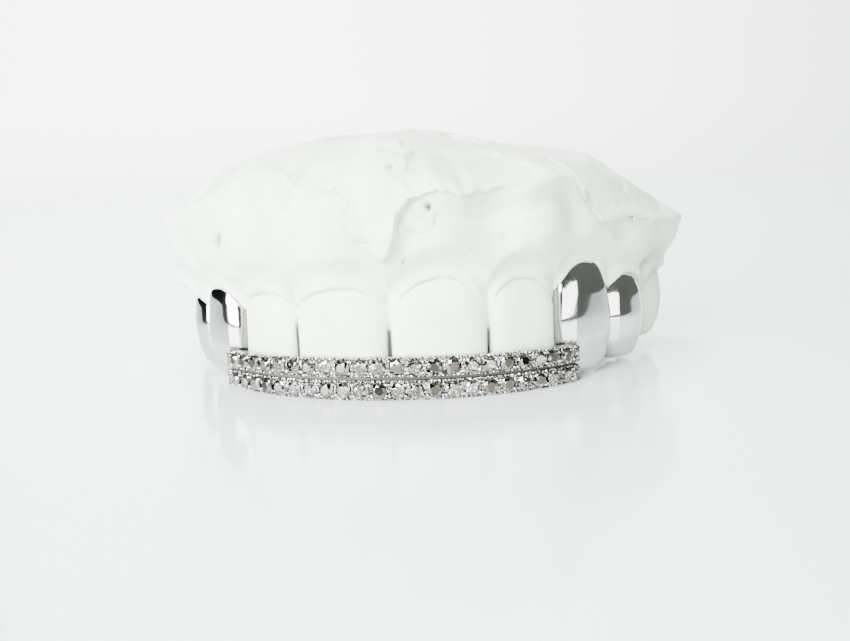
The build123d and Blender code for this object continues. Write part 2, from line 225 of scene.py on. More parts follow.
def whiteGoldMaterial():
    # 14 carat white gold with rhodium flash, cast and buffed to a mirror: cool and bright, with
    # slow waves where the wheel dwelt and faint hairlines.
    material, tree, out, spot = startMaterial("polishedWhiteGold", goldLook["metal"])
    wave = addNode(tree, "ShaderNodeTexNoise", inputs={"Scale": 1 / (goldLook["ripple"] * mm), "Detail": 1},
                   links={"Vector": spot}).outputs["Fac"]
    streak = addNode(tree, "ShaderNodeMapping", inputs={"Scale": (1.0, 1.0, 0.12)}, links={"Vector": spot})
    hair = addNode(tree, "ShaderNodeTexNoise", inputs={"Scale": 1 / (goldLook["scratch"] * mm), "Detail": 2},
                   links={"Vector": streak.outputs[0]}).outputs["Fac"]
    bright = ramp(tree, wave, [(0.3, goldLook["shade"]), (0.7, goldLook["metal"])])
    # Painted shade, read from a point attribute, darkens and dulls the caps' sides next to the bare teeth, the bar's
    # groove and its underside
    metalShade = addNode(tree, "ShaderNodeAttribute", {"attribute_name": "metalShade"}).outputs["Fac"]
    dull = ramp(tree, metalShade, goldLook["metalShade"])
    tone = addNode(tree, "ShaderNodeMix", {"data_type": "RGBA"}, None,
                   {"Factor": span(tree, metalShade, 0.0, 0.4, 0.0, 1.0), "A": bright, "B": dull}).outputs["Result"]
    buffed = span(tree, hair, 0.35, 0.7, 0.05, 0.11)
    rough = addNode(tree, "ShaderNodeMath", {"operation": "MAXIMUM"},
                    links={0: buffed, 1: span(tree, metalShade, 0.0, 0.42, 0.0, 0.5)}).outputs[0]
    soft = addNode(tree, "ShaderNodeBump", inputs={"Strength": 0.25, "Distance": 0.12 * mm}, links={"Height": wave})
    bump = addNode(tree, "ShaderNodeBump", inputs={"Strength": 0.05, "Distance": 0.01 * mm},
                   links={"Height": hair, "Normal": soft.outputs["Normal"]})
    bare = span(tree, metalShade, 0.2, 0.42, 1.0, 0.2)
    shader = addNode(tree, "ShaderNodeBsdfPrincipled", links={
        "Base Color": tone, "Roughness": rough, "Normal": bump.outputs["Normal"], "Metallic": bare})
    tree.links.new(shader.outputs[0], out.inputs[0])
    return material


seatLook = {
    "cut": 0.2,  # mm between the cuts, coarser than the real ones, so that they show
    "display": "#A5A29B", "cuts": [(0.43, "#2A2721"), (0.50, "#8F8B82"), (0.62, "#F0EFEC")], "metalShade": "#25221D",
}


def seatMaterial():
    # The same gold round the stones, cut up by hand into bright grains, dark in the cuts, with painted shade in the
    # groove and underneath
    material, tree, out, spot = startMaterial("brightCutWhiteGold", seatLook["display"])
    grit = addNode(tree, "ShaderNodeTexNoise", links={"Vector": spot}, inputs={
        "Scale": 1 / (seatLook["cut"] * mm), "Detail": 2, "Roughness": 0.6})
    cuts = ramp(tree, grit.outputs["Fac"], seatLook["cuts"])
    # Painted shade from a point attribute, in the groove and under the bar
    metalShade = addNode(tree, "ShaderNodeAttribute", {"attribute_name": "metalShade"}).outputs["Fac"]
    tone = addNode(tree, "ShaderNodeMix", {"data_type": "RGBA"}, {"B": srgb(seatLook["metalShade"])},
                   {"Factor": metalShade, "A": cuts}).outputs["Result"]
    rough = span(tree, grit.outputs["Fac"], 0.3, 0.7, 0.35, 0.12)
    bump = addNode(tree, "ShaderNodeBump", inputs={"Strength": 0.8, "Distance": 0.06 * mm},
                   links={"Height": grit.outputs["Fac"]})
    shader = addNode(tree, "ShaderNodeBsdfPrincipled", inputs={"Metallic": 1.0},
                     links={"Base Color": tone, "Roughness": rough, "Normal": bump.outputs["Normal"]})
    tree.links.new(shader.outputs[0], out.inputs[0])
    return material


stoneLook = {
    # dark is the colour of the painted dark reflection on some flats
    "display": "#F4F7FA", "clear": [(0.35, "#E9EEF2"), (0.65, "#FFFFFF")], "dark": "#4A453C",
    "tint": 2.5,  # mm, so that each stone has its own faint tint
}


def stoneMaterial():
    # Round brilliant diamonds, near colourless: a high index throws back the room as hard white and dark facets. Some
    # facets carry a painted dark reflection: a dark mirror, set by the stone's own attribute.
    material, tree, out, spot = startMaterial("brilliantDiamond", stoneLook["display"])
    tint = addNode(tree, "ShaderNodeTexNoise", inputs={"Scale": 1 / (stoneLook["tint"] * mm), "Detail": 0},
                   links={"Vector": spot})
    clear = ramp(tree, tint.outputs["Fac"], stoneLook["clear"])
    darkReflection = addNode(tree, "ShaderNodeAttribute", {"attribute_name": "darkReflection"}).outputs["Fac"]
    colour = addNode(tree, "ShaderNodeMix", {"data_type": "RGBA"}, {"B": srgb(stoneLook["dark"])},
                     {"Factor": darkReflection, "A": clear}).outputs["Result"]
    shader = addNode(tree, "ShaderNodeBsdfPrincipled", inputs={"IOR": 2.42, "Roughness": 0.0,
                     "Transmission Weight": 1.0}, links={"Base Color": colour, "Metallic": darkReflection})
    tree.links.new(shader.outputs[0], out.inputs[0])
    return material


plaster = plasterMaterial()
whiteGold = whiteGoldMaterial()
seatMetal = seatMaterial()
diamond = stoneMaterial()
print("materials made")


def meshObject(name, verts, faces, material, smooth=True):
    # A new object at the origin from points in mm
    mesh = bpy.data.meshes.new(name)
    mesh.from_pydata([tuple(c * mm for c in v) for v in verts], [], faces)
    mesh.materials.append(material)
    mesh.polygons.foreach_set("use_smooth", [smooth] * len(mesh.polygons))
    mesh.update()
    return linkObject(name, mesh)


def toMesh(made, name):
    # A named mesh from a working one
    mesh = bpy.data.meshes.new(name)
    made.to_mesh(mesh)
    made.free()
    return mesh


def applyModifiers(thing):
    # Turns the object with its modifiers into a plain mesh
    graph = bpy.context.evaluated_depsgraph_get()
    mesh = bpy.data.meshes.new_from_object(thing.evaluated_get(graph), depsgraph=graph)
    thing.modifiers.clear()
    thing.data = mesh
    return thing


def pointArray(mesh):
    flat = np.empty(len(mesh.vertices) * 3)
    mesh.vertices.foreach_get("co", flat)
    return flat.reshape(-1, 3)


def setPoints(mesh, points):
    mesh.vertices.foreach_set("co", np.asarray(points, np.float64).ravel())
    mesh.update()


def paintPoints(mesh, name, values):
    # Writes one value for each point, which a material reads by name
    layer = mesh.attributes.new(name, "FLOAT", "POINT")
    layer.data.foreach_set("value", values)


# Cast: teeth, gum and broken base, worked out as one field that is below zero inside the plaster
cast = {
    "cell": 0.36,  # mm, mesh size away from the front
    "incisor": [  # height, width, outer face, inner face: shares of the tooth's own sizes
        (0.00, 0.86, 0.06, 0.26), (0.10, 0.91, 0.02, 0.34), (0.28, 0.93, 0.00, 0.48), (0.44, 0.95, 0.00, 0.60),
        (0.64, 1.00, 0.01, 0.76), (0.74, 0.98, 0.02, 0.90), (1.00, 0.80, 0.09, 1.00), (1.25, 0.68, 0.14, 0.96)],
    "canine": [
        (0.00, 0.30, 0.20, 0.46), (0.04, 0.55, 0.12, 0.54), (0.13, 0.80, 0.05, 0.63), (0.32, 0.97, 0.00, 0.76),
        (0.50, 1.00, 0.00, 0.92), (0.76, 0.90, 0.03, 1.00), (0.88, 0.81, 0.075, 0.99), (1.00, 0.70, 0.14, 0.97),
        (1.25, 0.56, 0.20, 0.92)],
    "premolar": [
        (0.00, 0.42, 0.16, 0.82), (0.06, 0.68, 0.09, 0.88), (0.22, 0.92, 0.03, 0.95), (0.48, 1.00, 0.00, 1.00),
        (0.74, 0.90, 0.03, 0.98), (0.88, 0.80, 0.08, 0.95), (1.00, 0.70, 0.14, 0.91), (1.25, 0.60, 0.20, 0.86)],
    "teeth": [  # rows, middle along the arch, width, depth, height, lower edge, how far it stands out
        ("incisor", 4.575, 9.15, 6.8, 10.2, 0.45, 0.0), ("incisor", 12.725, 7.15, 6.2, 9.4, 0.95, 0.0),
        ("canine", 20.15, 7.7, 7.8, 9.9, 0.55, 0.40), ("premolar", 27.45, 6.9, 8.6, 8.2, 0.55, 0.30),
        ("premolar", 34.35, 6.9, 8.6, 8.2, 1.10, 0.30)],
    "square": {"incisor": 3.0, "canine": 2.5, "premolar": 2.5}, "squareInside": 2.1,  # power of each section's oval
    "toothTop": 1.25,  # shares of its height that a tooth reaches up into the gum
    "valley": 1.5,  # depth of the groove between a premolar's cusps
    "scallop": 2.3,  # power of the gum's arch over each tooth
    "innerArch": 0.9, "innerFrom": (-2.0, -5.0),  # mm, the arch behind the teeth, and where it takes over
    "papillae": [  # along the arch, height of the gum's points between the teeth
        (-37.8, 6.4), (-30.9, 5.6), (-24.0, 5.6), (-16.3, 6.6), (-9.15, 8.0), (0.0, 7.2), (9.15, 7.1),
        (16.3, 7.6), (24.0, 7.2), (30.9, 6.2), (37.8, 6.6)],
    "necks": [  # along the arch, height of the top of each gum arch
        (-34.4, 7.4), (-27.0, 6.9), (-19.3, 8.8), (-11.6, 9.2), (-3.9, 9.8), (4.9, 10.5), (12.1, 9.9),
        (19.7, 10.4), (26.6, 8.6), (34.3, 8.4)],
    "profile": [  # height, reach outside the arch line of the gum above the necks
        (6.3, -2.7), (8.1, -1.35), (10.2, 0.0), (12.2, 0.96), (15.0, 1.52), (17.7, 1.36), (23.0, 1.36)],
    "rootWave": 0.35, "sideFull": 1.25, "leftFull": 0.85,  # mm, swelling over roots, at the sides, on the left
    "vestibule": [  # along the arch, height of the broken line where the gum ends
        (-46, 13.2), (-33, 14.2), (-26, 15.4), (-17.8, 17.4), (-14.0, 18.9), (-10.2, 20.1), (-8.6, 19.3),
        (-7.5, 19.2), (-6.8, 18.75), (-5.3, 18.6), (-2.5, 18.0), (-1.8, 17.2), (-1.2, 14.9), (-0.4, 12.7),
        (0.1, 12.3), (0.8, 13.2), (1.25, 14.6), (1.5, 16.3), (2.4, 17.5), (4.6, 18.2), (5.9, 17.9), (6.6, 17.5),
        (7.4, 17.8), (11.1, 18.0), (14.1, 18.8), (16.3, 18.5), (17.2, 17.0), (18.4, 15.5), (20.1, 14.2),
        (26.9, 13.6), (31.6, 12.9), (46, 12.2)],
    "proud": [  # along the arch, how far the broken base stands outside the gum at that line
        (-46, -0.3), (-10, -0.25), (-3, -0.15), (-1.8, 0.2), (-0.6, 0.75), (0.4, 0.95), (1.5, 1.05), (3.0, 0.85),
        (6.4, 0.7), (8.0, 0.3), (13.0, 0.0), (16.0, -0.3), (18.6, -0.5), (20.0, 0.9), (26.0, 0.9), (29.0, 0.15),
        (46, 0.0)],
    "roll": [  # along the arch, how far the gum turns outwards just below that line
        (-46, 0.2), (-12, 0.25), (-3, 0.1), (1.6, 0.3), (4.0, 0.8), (8.0, 1.0), (16.5, 0.9), (18.6, 0.1),
        (20.5, -0.35), (26.0, -0.3), (29.0, 0.1), (46, 0.1)],
    "depth": [  # along the arch, how far back the broken base runs
        (-46, 3.0), (-30, 3.6), (-20, 5.5), (-10, 8.0), (0, 9.0), (10, 8.0), (20, 5.0), (30, 3.6), (46, 3.0)],
    "skyline": [  # x, height of the broken top
        (-31.2, 12.3), (-25.2, 15.7), (-21.7, 17.0), (-17.9, 19.7), (-14.1, 20.9), (-8.1, 22.1), (-1.4, 22.4),
        (4.9, 21.3), (13.0, 19.9), (17.3, 19.0), (21.4, 16.35), (25.2, 13.5), (27.5, 11.9), (31.2, 10.3)],
    "block": [  # along the arch, how far the broken base stands forward there: the thick part in the middle
        (-46, 0.0), (-12, 0.0), (-7, 0.15), (2.0, 0.2), (5.6, -0.9), (8.0, -0.6), (13.0, 0.0), (46, 0.0)],
    "rearFull": [(5.0, 0.8), (8.0, 1.7), (10.2, 1.4), (12.2, 0.5), (15.0, -0.4), (23.0, -0.4)],  # height, reach
    "rearPull": [  # along the arch, how far the gum draws in there
        (-46, 1.1), (-38, 0.6), (-30, 0.0), (29, 0.0), (36, 0.8), (42, 1.5), (46, 2.0)],
    "dents": [  # along the arch, height, half length, half width, tilt in degrees, depth
        (-16.0, 13.9, 0.95, 0.33, 40, 0.75), (-24.0, 10.6, 0.5, 0.2, 60, 0.4), (10.2, 13.8, 0.34, 0.34, 0, 0.12),
        (3.95, 16.75, 0.42, 0.3, -60, 0.45), (1.7, 12.1, 0.14, 0.34, 0, 0.3), (-3.6, 19.6, 0.13, 0.13, 0, 0.25),
        (-3.6, 18.6, 0.16, 0.16, 0, 0.25), (1.4, 22.2, 0.34, 0.15, 0, 0.3), (0.9, 20.1, 0.3, 0.26, 0, 0.4),
        (3.8, 22.1, 0.16, 0.16, 0, 0.25), (11.2, 12.2, 0.15, 0.12, 0, 0.2), (5.9, 12.0, 0.1, 0.1, 0, 0.2),
        (7.4, 13.0, 0.1, 0.1, 0, 0.15), (-5.2, 13.2, 0.1, 0.1, 0, 0.12), (2.3, 6.1, 0.1, 0.1, 0, 0.15)],
    "rings": [  # along the arch, height, half width, half height, depth: air bubbles caught in the impression
        (-1.55, 15.7, 1.15, 1.85, 0.12), (3.15, 15.95, 1.42, 1.42, 0.18), (-8.1, 18.2, 0.75, 1.35, 0.13)],
    "swells": [  # along the arch, height, half width, half height, how far it stands out
        (14.4, 15.0, 2.0, 3.6, 0.75), (8.9, 15.5, 2.2, 2.6, -0.35), (-14.5, 14.0, 2.4, 4.0, 0.3),
        (4.6, 16.0, 2.4, 2.0, -0.45), (17.6, 13.2, 1.3, 3.2, -0.3), (22.5, 12.2, 2.4, 1.6, 0.25)],
    "shadeAndStains": [  # patches of painted shade, and a stained patch on the last tooth: along the arch, height, half length, half width, tilt in degrees, how dark
        (4.7, 20.4, 1.5, 0.9, -70, 0.22), (24.4, 14.2, 3.4, 0.35, -4, 0.6), (15.5, 15.5, 5.0, 0.9, -55, 0.12),
        (8.6, 17.2, 2.6, 0.7, 0, 0.15), (-8.1, 18.2, 0.7, 1.2, 0, 0.1), (32.0, 7.5, 3.6, 5.0, 0, 0.5)],
    "gapShade": 0.42,  # mm, half width of the painted shade between two teeth
    "vault": [(0.0, 0.00), (6.1, 0.04), (10.8, 0.28), (14.6, 1.00)], "vaultTop": 14.6,  # palate: height, share in
    "vaultWall": (7.4, 9.4), "vaultRun": 6.2,  # mm, its distance inside the arch in front and at the rear, its run
    "vaultLumps": (0.2, 4.0, 12),  # size up, size along, seed
    "folds": {"tall": 0.28, "turns": 2.1, "stray": 2.0, "size": 5.0, "seed": 11,
              "low": (7.5, 9.0), "high": (14.0, 12.0), "sides": (16, 8)},  # ridges behind the front teeth
    "gumUnder": (0.15, -6.0, -7.5), "topSlope": 0.9, "topLumps": (0.05, 0.5, 9),
    "last": 37.8,  # mm along the arch, behind the last tooth
    "back": 15.283,  # y of the sawn rear face
    "corner": (-28.9, -16.2, -0.2), "farCorner": (28.95, 15.9, 23.2),  # mm, the block that is meshed
    "skip": 3, "settle": (3, 0.15, 0.08),  # coarse step, rounds, mm per round before and after the fine split
    "fine": (-1.6, 31, 3.0),  # the front is meshed twice as fine: reach, along the arch, height
}
chips = {
    "count": 70, "seed": 8, "box": ((-28, -14, 12), (28, 14, 23)),  # mm, where the flats' middles lie
    "tilt": 0.18, "step": 0.10, "slope": 0.8, "most": 0.9,
}


def smoothStep(low, high, value):
    part = np.clip((value - low) / (high - low), 0, 1)
    return part * part * (3 - 2 * part)


def fromTable(rows, value):
    table = np.array(rows, float)
    return np.interp(value, table[:, 0], table[:, 1])


def softTable(rows):
    # Table columns against even heights, with their corners rounded off
    table = np.array(rows, float)
    heights = np.linspace(table[0, 0], table[-1, 0], 241)
    window = np.hanning(19)
    window /= window.sum()
    columns = []
    for c in range(1, table.shape[1]):
        padded = np.pad(np.interp(heights, table[:, 0], table[:, c]), 9, mode="edge")
        columns.append(np.convolve(padded, window, mode="valid"))
    return heights, columns


softProfile = softTable(cast["profile"])
softRows = {kind: softTable(cast[kind]) for kind in ("incisor", "canine", "premolar")}


def lumps(points, size, seed):
    # Smooth random values from -1 to 1 whose features have one size, in mm
    lattice = np.random.default_rng(seed).uniform(-1, 1, (24, 24, 24))
    place = points / size
    base = np.floor(place).astype(int)
    part = place - base
    part = part * part * (3 - 2 * part)
    total = 0.0
    for corner in range(8):
        shift = np.array([corner & 1, corner >> 1 & 1, corner >> 2 & 1])
        index = (base + shift) % 24
        weight = np.prod(np.where(shift == 1, part, 1 - part), axis=-1)
        total = total + weight * lattice[index[:, 0], index[:, 1], index[:, 2]]
    return total


def toothSections(kind, share):
    heights, columns = softRows[kind]
    return [np.interp(share, heights, column) for column in columns]


def besideTooth(tooth, side, points):
    # How far points lie across a tooth's middle and behind the arch line there
    ox, oy, turn = (float(v) for v in archAt(side * tooth[1]))
    dx, dy = points[:, 0] - ox, points[:, 1] - oy
    return dx * math.cos(turn) + dy * math.sin(turn), dy * math.cos(turn) - dx * math.sin(turn)


def toothWalls(tooth, z, grow):
    # Half width, outer face and inner face at each height, for a tooth grown all round
    kind, middle, width, depth, height, edge, proud = tooth
    fade = np.clip(1 - (z - edge) / height / cast[kind][3][0], 0, 1)
    wide, front, back = toothSections(kind, (z + grow * fade - edge) / height)
    return wide * width / 2 + grow, front * depth - proud - grow, back * depth - proud + grow


def toothField(tooth, side, points):
    kind, middle, width, depth, height, edge, proud = tooth
    across, deep = besideTooth(tooth, side, points)
    z = points[:, 2]
    halfWide, near, far = toothWalls(tooth, z, 0.0)
    halfDeep = (far - near) / 2
    off = (deep - (near + far) / 2) / halfDeep
    power = np.where(off < 0, cast["square"][kind], cast["squareInside"])
    ring = (np.abs(across / halfWide) ** power + np.abs(off) ** power) ** (1 / power)
    field = (ring - 1) * np.minimum(halfWide, halfDeep)
    field = np.maximum(field, edge - z)
    field = np.maximum(field, z - edge - cast["toothTop"] * height)
    if kind == "premolar":
        radius = width / 2
        field = np.maximum(field, radius - np.hypot(deep - depth / 2, z - edge - cast["valley"] + radius))
    return field


def archOf(points):
    # Along and reach of any points, from a fine table laid over the cast
    gx = np.clip((points[:, 0] - archTable["x"][0]) / archTable["step"], 0, len(archTable["x"]) - 1.001)
    gy = np.clip((points[:, 1] - archTable["y"][0]) / archTable["step"], 0, len(archTable["y"]) - 1.001)
    ix, iy = gx.astype(int), gy.astype(int)
    fx, fy = gx - ix, gy - iy
    found = []
    for grid in (archTable["along"], archTable["reach"]):
        low = grid[ix, iy] * (1 - fx) + grid[ix + 1, iy] * fx
        high = grid[ix, iy + 1] * (1 - fx) + grid[ix + 1, iy + 1] * fx
        found.append(low * (1 - fy) + high * fy)
    return found


def buildArchTable():
    step = arch["tableStep"]
    xs, ys = (np.arange(low, high, step) for low, high in arch["tableSpan"])
    gridX, gridY = np.meshgrid(xs, ys, indexing="ij")
    along, reach = toArch(np.stack([gridX.ravel(), gridY.ravel()], 1))
    return {"x": xs, "y": ys, "step": step, "along": along.reshape(gridX.shape), "reach": reach.reshape(gridX.shape)}


archTable = buildArchTable()


def gumMargin(along):
    # Height of the gum's scalloped lower edge, and where a point lies across its tooth (-1 to 1)
    bounds = [p[0] for p in cast["papillae"]]
    tooth = np.clip(np.searchsorted(bounds, along) - 1, 0, len(bounds) - 2)
    low = np.array(bounds)[tooth]
    high = np.array(bounds)[tooth + 1]
    necks = np.array(cast["necks"])
    top = necks[tooth, 0]
    across = np.where(along < top, (along - top) / (top - low), (along - top) / (high - top))
    papilla = fromTable(cast["papillae"], along)
    share = np.clip(np.abs(across), 0, 1)
    return papilla + (necks[tooth, 1] - papilla) * (1 - share ** cast["scallop"]), across


def gumEdge(along, reach):
    # Height of the gum's lower edge, which is nearly level on the inner side
    lower, across = gumMargin(along)
    inner = fromTable(cast["papillae"], along) + cast["innerArch"] * (
        1 - np.clip(np.abs(across), 0, 1) ** cast["scallop"])
    return lower + (inner - lower) * smoothStep(*cast["innerFrom"], reach)


def facets(points):
    # Flat chips at random tilts, as plaster breaks
    rng = np.random.default_rng(chips["seed"])
    middles = rng.uniform(*chips["box"], (chips["count"], 3))
    tilts = rng.normal(0, chips["tilt"], (chips["count"], 3))
    steps = rng.normal(0, chips["step"], chips["count"])
    best = np.full(len(points), 1e9)
    value = np.zeros(len(points))
    for middle, tilt, step in zip(middles, tilts, steps):
        away = points - middle
        far = (away ** 2).sum(1)
        nearer = far < best
        best[nearer] = far[nearer]
        value[nearer] = (away[nearer] @ tilt) * chips["slope"] + step
    return np.clip(value, -chips["most"], chips["most"])


gum = {  # mm
    "fuller": (20.15, 17.65),  # along the arch: where the sides begin to swell, and over what length
    "leftFuller": (12.7, 37.8, 6.9), "leftHeights": (7, 11),  # the same for the left alone, with its end
    "neck": -0.22, "neckDip": 0.7, "neckEnd": (36.0, 38.5),  # face of the free edge, deeper between the teeth
    "rootHeights": (9.5, 12.5), "swellOver": (0.3, 3.4),  # heights of the root waves, height over the free edge
    "rearFrom": (31, 38), "rightRear": 0.2,  # where the rear fullness sets in, and its share on the right
    "edgeRoll": 0.05, "edgeLumps": (0.05, 1.6, 13), "edgeAt": 0.5, "edgeWide": 0.35,  # thin roll of the free edge
    "edgeCut": 3.0, "edgeSoft": (0.05, -0.16),
    "strayAlong": (0.12, 0.9, 3), "strayUp": (0.08, 0.5, 4),  # how the broken line wavers: size, lump size, seed
    "rollReach": 1.2, "rollBelow": (-2.6, -0.1),
    "ringLine": 0.11, "ringFull": 0.1, "ringEnd": (0.2, -0.2),
    "climbLeast": 1.5, "climbMost": 1.3, "climbPower": 1.5,  # least height of the base, how far up, its curve
    "chipsOver": (0.0, 1.6), "blockOver": (0.4, 2.0),  # height over the line by which chips and block are full
    "baseLumps": ((0.09, 0.7, 5), (0.06, 0.35, 6)), "faceLumps": (0.02, 0.45, 7),
    "frenumHalf": 2, "frenumWide": 2.2, "frenumTop": (18.0, 17.0),  # the band of gum in the middle
    "step": (0.07, 0.07), "frenumStep": (0.13, 0.06),  # half width of the broken step, and more at the frenum
    "leanReach": 0.15, "skyChips": 0.2,
}


def roughness(points, height, size, seed):
    return height * lumps(points, size, seed)


def gumFace(along, z, points):
    # Reach of the outer face of gum and base at each place, and the height of the broken top
    margin, across = gumMargin(along)
    above = z - margin
    rise = np.interp(z, softProfile[0], softProfile[1][0])
    wave = cast["rootWave"] * np.cos(math.pi * np.clip(across, -1, 1)) * smoothStep(*gum["rootHeights"], z)
    rear = np.clip((np.abs(along) - gum["fuller"][0]) / gum["fuller"][1], 0, 1)
    start, end, run = gum["leftFuller"]
    left = np.where(along < 0, np.clip(np.minimum(-along / start, (end + along) / run), 0, 1), 0)
    full = cast["sideFull"] * rear + cast["leftFull"] * left * smoothStep(*gum["leftHeights"], z)
    full = full - fromTable(cast["rearPull"], along)
    neck = gum["neck"] - gum["neckDip"] * np.abs(np.clip(across, -1, 1)) ** 4
    neck = neck + (rise - neck) * smoothStep(*gum["neckEnd"], np.abs(along))
    face = neck + (rise + wave - neck) * smoothStep(*gum["swellOver"], above)
    sided = np.where(along < 0, 1, gum["rightRear"])
    face = face + full + fromTable(cast["rearFull"], z) * smoothStep(*gum["rearFrom"], np.abs(along)) * sided
    rolled = gum["edgeRoll"] + roughness(points, *gum["edgeLumps"])
    face += rolled * np.exp(-((above - gum["edgeAt"]) / gum["edgeWide"]) ** 2)
    face -= gum["edgeCut"] * smoothStep(*gum["edgeSoft"], above)
    for s, h, halfWide, halfTall, depth in cast["swells"]:
        face += depth * np.exp(-((along - s) / halfWide) ** 2 - ((z - h) / halfTall) ** 2)
    vestibule = cast["vestibule"]
    line = fromTable(vestibule, along + roughness(points, *gum["strayAlong"])) + roughness(points, *gum["strayUp"])
    ledge = fromTable([p for p in vestibule if abs(p[0]) > gum["frenumHalf"]], along)  # the line without the frenum
    roll = fromTable(cast["roll"], along)
    beside = fromTable(vestibule, along - gum["rollReach"]) + fromTable(vestibule, along + gum["rollReach"])
    even = (beside + 2 * line) / 4
    face += roll * smoothStep(*gum["rollBelow"], z - even)
    for s, h, halfWide, halfTall, depth in cast["rings"]:
        far = np.hypot((along - s) / halfWide, (z - h) / halfTall)
        size = (halfWide + halfTall) / 2
        face -= depth * np.exp(-((far - 1) * size / gum["ringLine"]) ** 2) * smoothStep(*gum["ringEnd"], z - line)
        face += gum["ringFull"] * np.clip(1 - far ** 2, 0, 1)
    sky = fromTable(cast["skyline"], points[:, 0])
    climb = np.clip((z - ledge) / np.maximum(sky - ledge, gum["climbLeast"]), 0, gum["climbMost"])
    atLine = np.interp(np.minimum(z, ledge), softProfile[0], softProfile[1][0])
    atLine = atLine + full + roll + fromTable(cast["proud"], along)
    flats = facets(points)
    base = atLine - fromTable(cast["depth"], along) * climb ** gum["climbPower"]
    base = base + flats * smoothStep(*gum["chipsOver"], z - ledge)
    base += fromTable(cast["block"], along) * smoothStep(*gum["blockOver"], z - ledge)
    coarse, small = gum["baseLumps"]
    base += roughness(points, *coarse) + roughness(points, *small)
    reach = gum["leanReach"]
    lean = (fromTable(vestibule, along + reach) - fromTable(vestibule, along - reach)) / (2 * reach)
    away = (z - line) / np.sqrt(1 + lean ** 2)  # distance from the line, also where it runs steeply
    tongue = np.exp(-(along / gum["frenumWide"]) ** 4) * smoothStep(*gum["frenumTop"], z)
    below, over = (own + more * tongue for own, more in zip(gum["step"], gum["frenumStep"]))
    broken = smoothStep(-below, over, away)
    face = face + roughness(points, *gum["faceLumps"])
    face = face * (1 - broken) + base * broken
    for s, h, halfLong, halfWide, tilt, depth in cast["dents"]:
        face -= depth * np.exp(-spotAway(along - s, z - h, halfLong, halfWide, tilt) ** 3)
    return face, sky + gum["skyChips"] * flats


def spotAway(along, rise, halfLong, halfWide, tilt):
    # Distance from the middle of a tilted oval, 1 at its edge
    c, q = math.cos(math.radians(tilt)), math.sin(math.radians(tilt))
    return np.hypot((along * c + rise * q) / halfLong, (rise * c - along * q) / halfWide)


# Painted shade on the cast, in creases, pits and the gaps between the teeth
plasterShade = {
    "rounds": 4, "hollow": (0.01, 0.2, 0.45),  # least depth that shows in mm, depth for full shade, most of it
    "dent": 1.3, "dentMost": 0.7, "inside": -4,  # mm, none further inside than this
    "gapDown": (-0.6, -2.2), "gapIn": (-0.25, -0.9),  # mm under the gum's edge, and behind the teeth's faces
}


def plasterShadeValues(mesh):
    # 0 to 1 at each point: painted shade held in creases, pits and the gaps between the teeth, with patches of
    #                       painted shade and a stained patch
    points = pointArray(mesh) / mm
    along, reach = archOf(points)
    z = points[:, 2]
    least, whole, most = plasterShade["hollow"]
    shade = np.clip((hollowness(mesh, plasterShade["rounds"]) - least) / whole, 0, most)
    for s, h, halfLong, halfWide, tilt, depth in cast["dents"]:
        dark = plasterShade["dent"] * min(depth, plasterShade["dentMost"])
        shade += dark * np.exp(-spotAway(along - s, z - h, halfLong, halfWide, tilt) ** 3)
    for s, h, halfLong, halfWide, tilt, dark in cast["shadeAndStains"]:
        shade += dark * np.exp(-spotAway(along - s, z - h, halfLong, halfWide, tilt) ** 2)
    shade *= reach > plasterShade["inside"]
    margin = gumMargin(along)[0]
    for contact, _ in cast["papillae"]:
        near = np.exp(-((along - contact) / cast["gapShade"]) ** 4)
        shade += near * smoothStep(*plasterShade["gapDown"], z - margin) * smoothStep(*plasterShade["gapIn"], reach)
    return np.clip(shade, 0, 1)


def castField(points):
    along, reach = archOf(points)
    z = points[:, 2]
    face, sky = gumFace(along, z, points)
    field = reach - face
    under, underFrom, underTo = cast["gumUnder"]
    field = np.maximum(field, gumEdge(along, reach) - z + under * smoothStep(underFrom, underTo, reach))
    field = np.maximum(field, (z - sky) * cast["topSlope"] + roughness(points, *cast["topLumps"]))
    far = np.clip(np.abs(along) / cast["last"], 0, 1)
    wall = cast["vaultWall"][0] + (cast["vaultWall"][1] - cast["vaultWall"][0]) * far
    wall = wall + cast["vaultRun"] * fromTable(cast["vault"], z)
    folds = cast["folds"]
    ridges = np.sin(z * folds["turns"] + folds["stray"] * lumps(points, folds["size"], folds["seed"]))
    wall += folds["tall"] * ridges * smoothStep(*folds["low"], z) * smoothStep(*folds["high"], z) \
        * smoothStep(*folds["sides"], np.abs(along))
    hollow = np.minimum(-reach - wall, cast["vaultTop"] + roughness(points, *cast["vaultLumps"]) - z)
    field = np.maximum(field, hollow)
    for tooth in cast["teeth"]:
        for side in (-1, 1):
            field = np.minimum(field, toothField(tooth, side, points))
    return np.maximum(field, points[:, 1] - cast["back"])


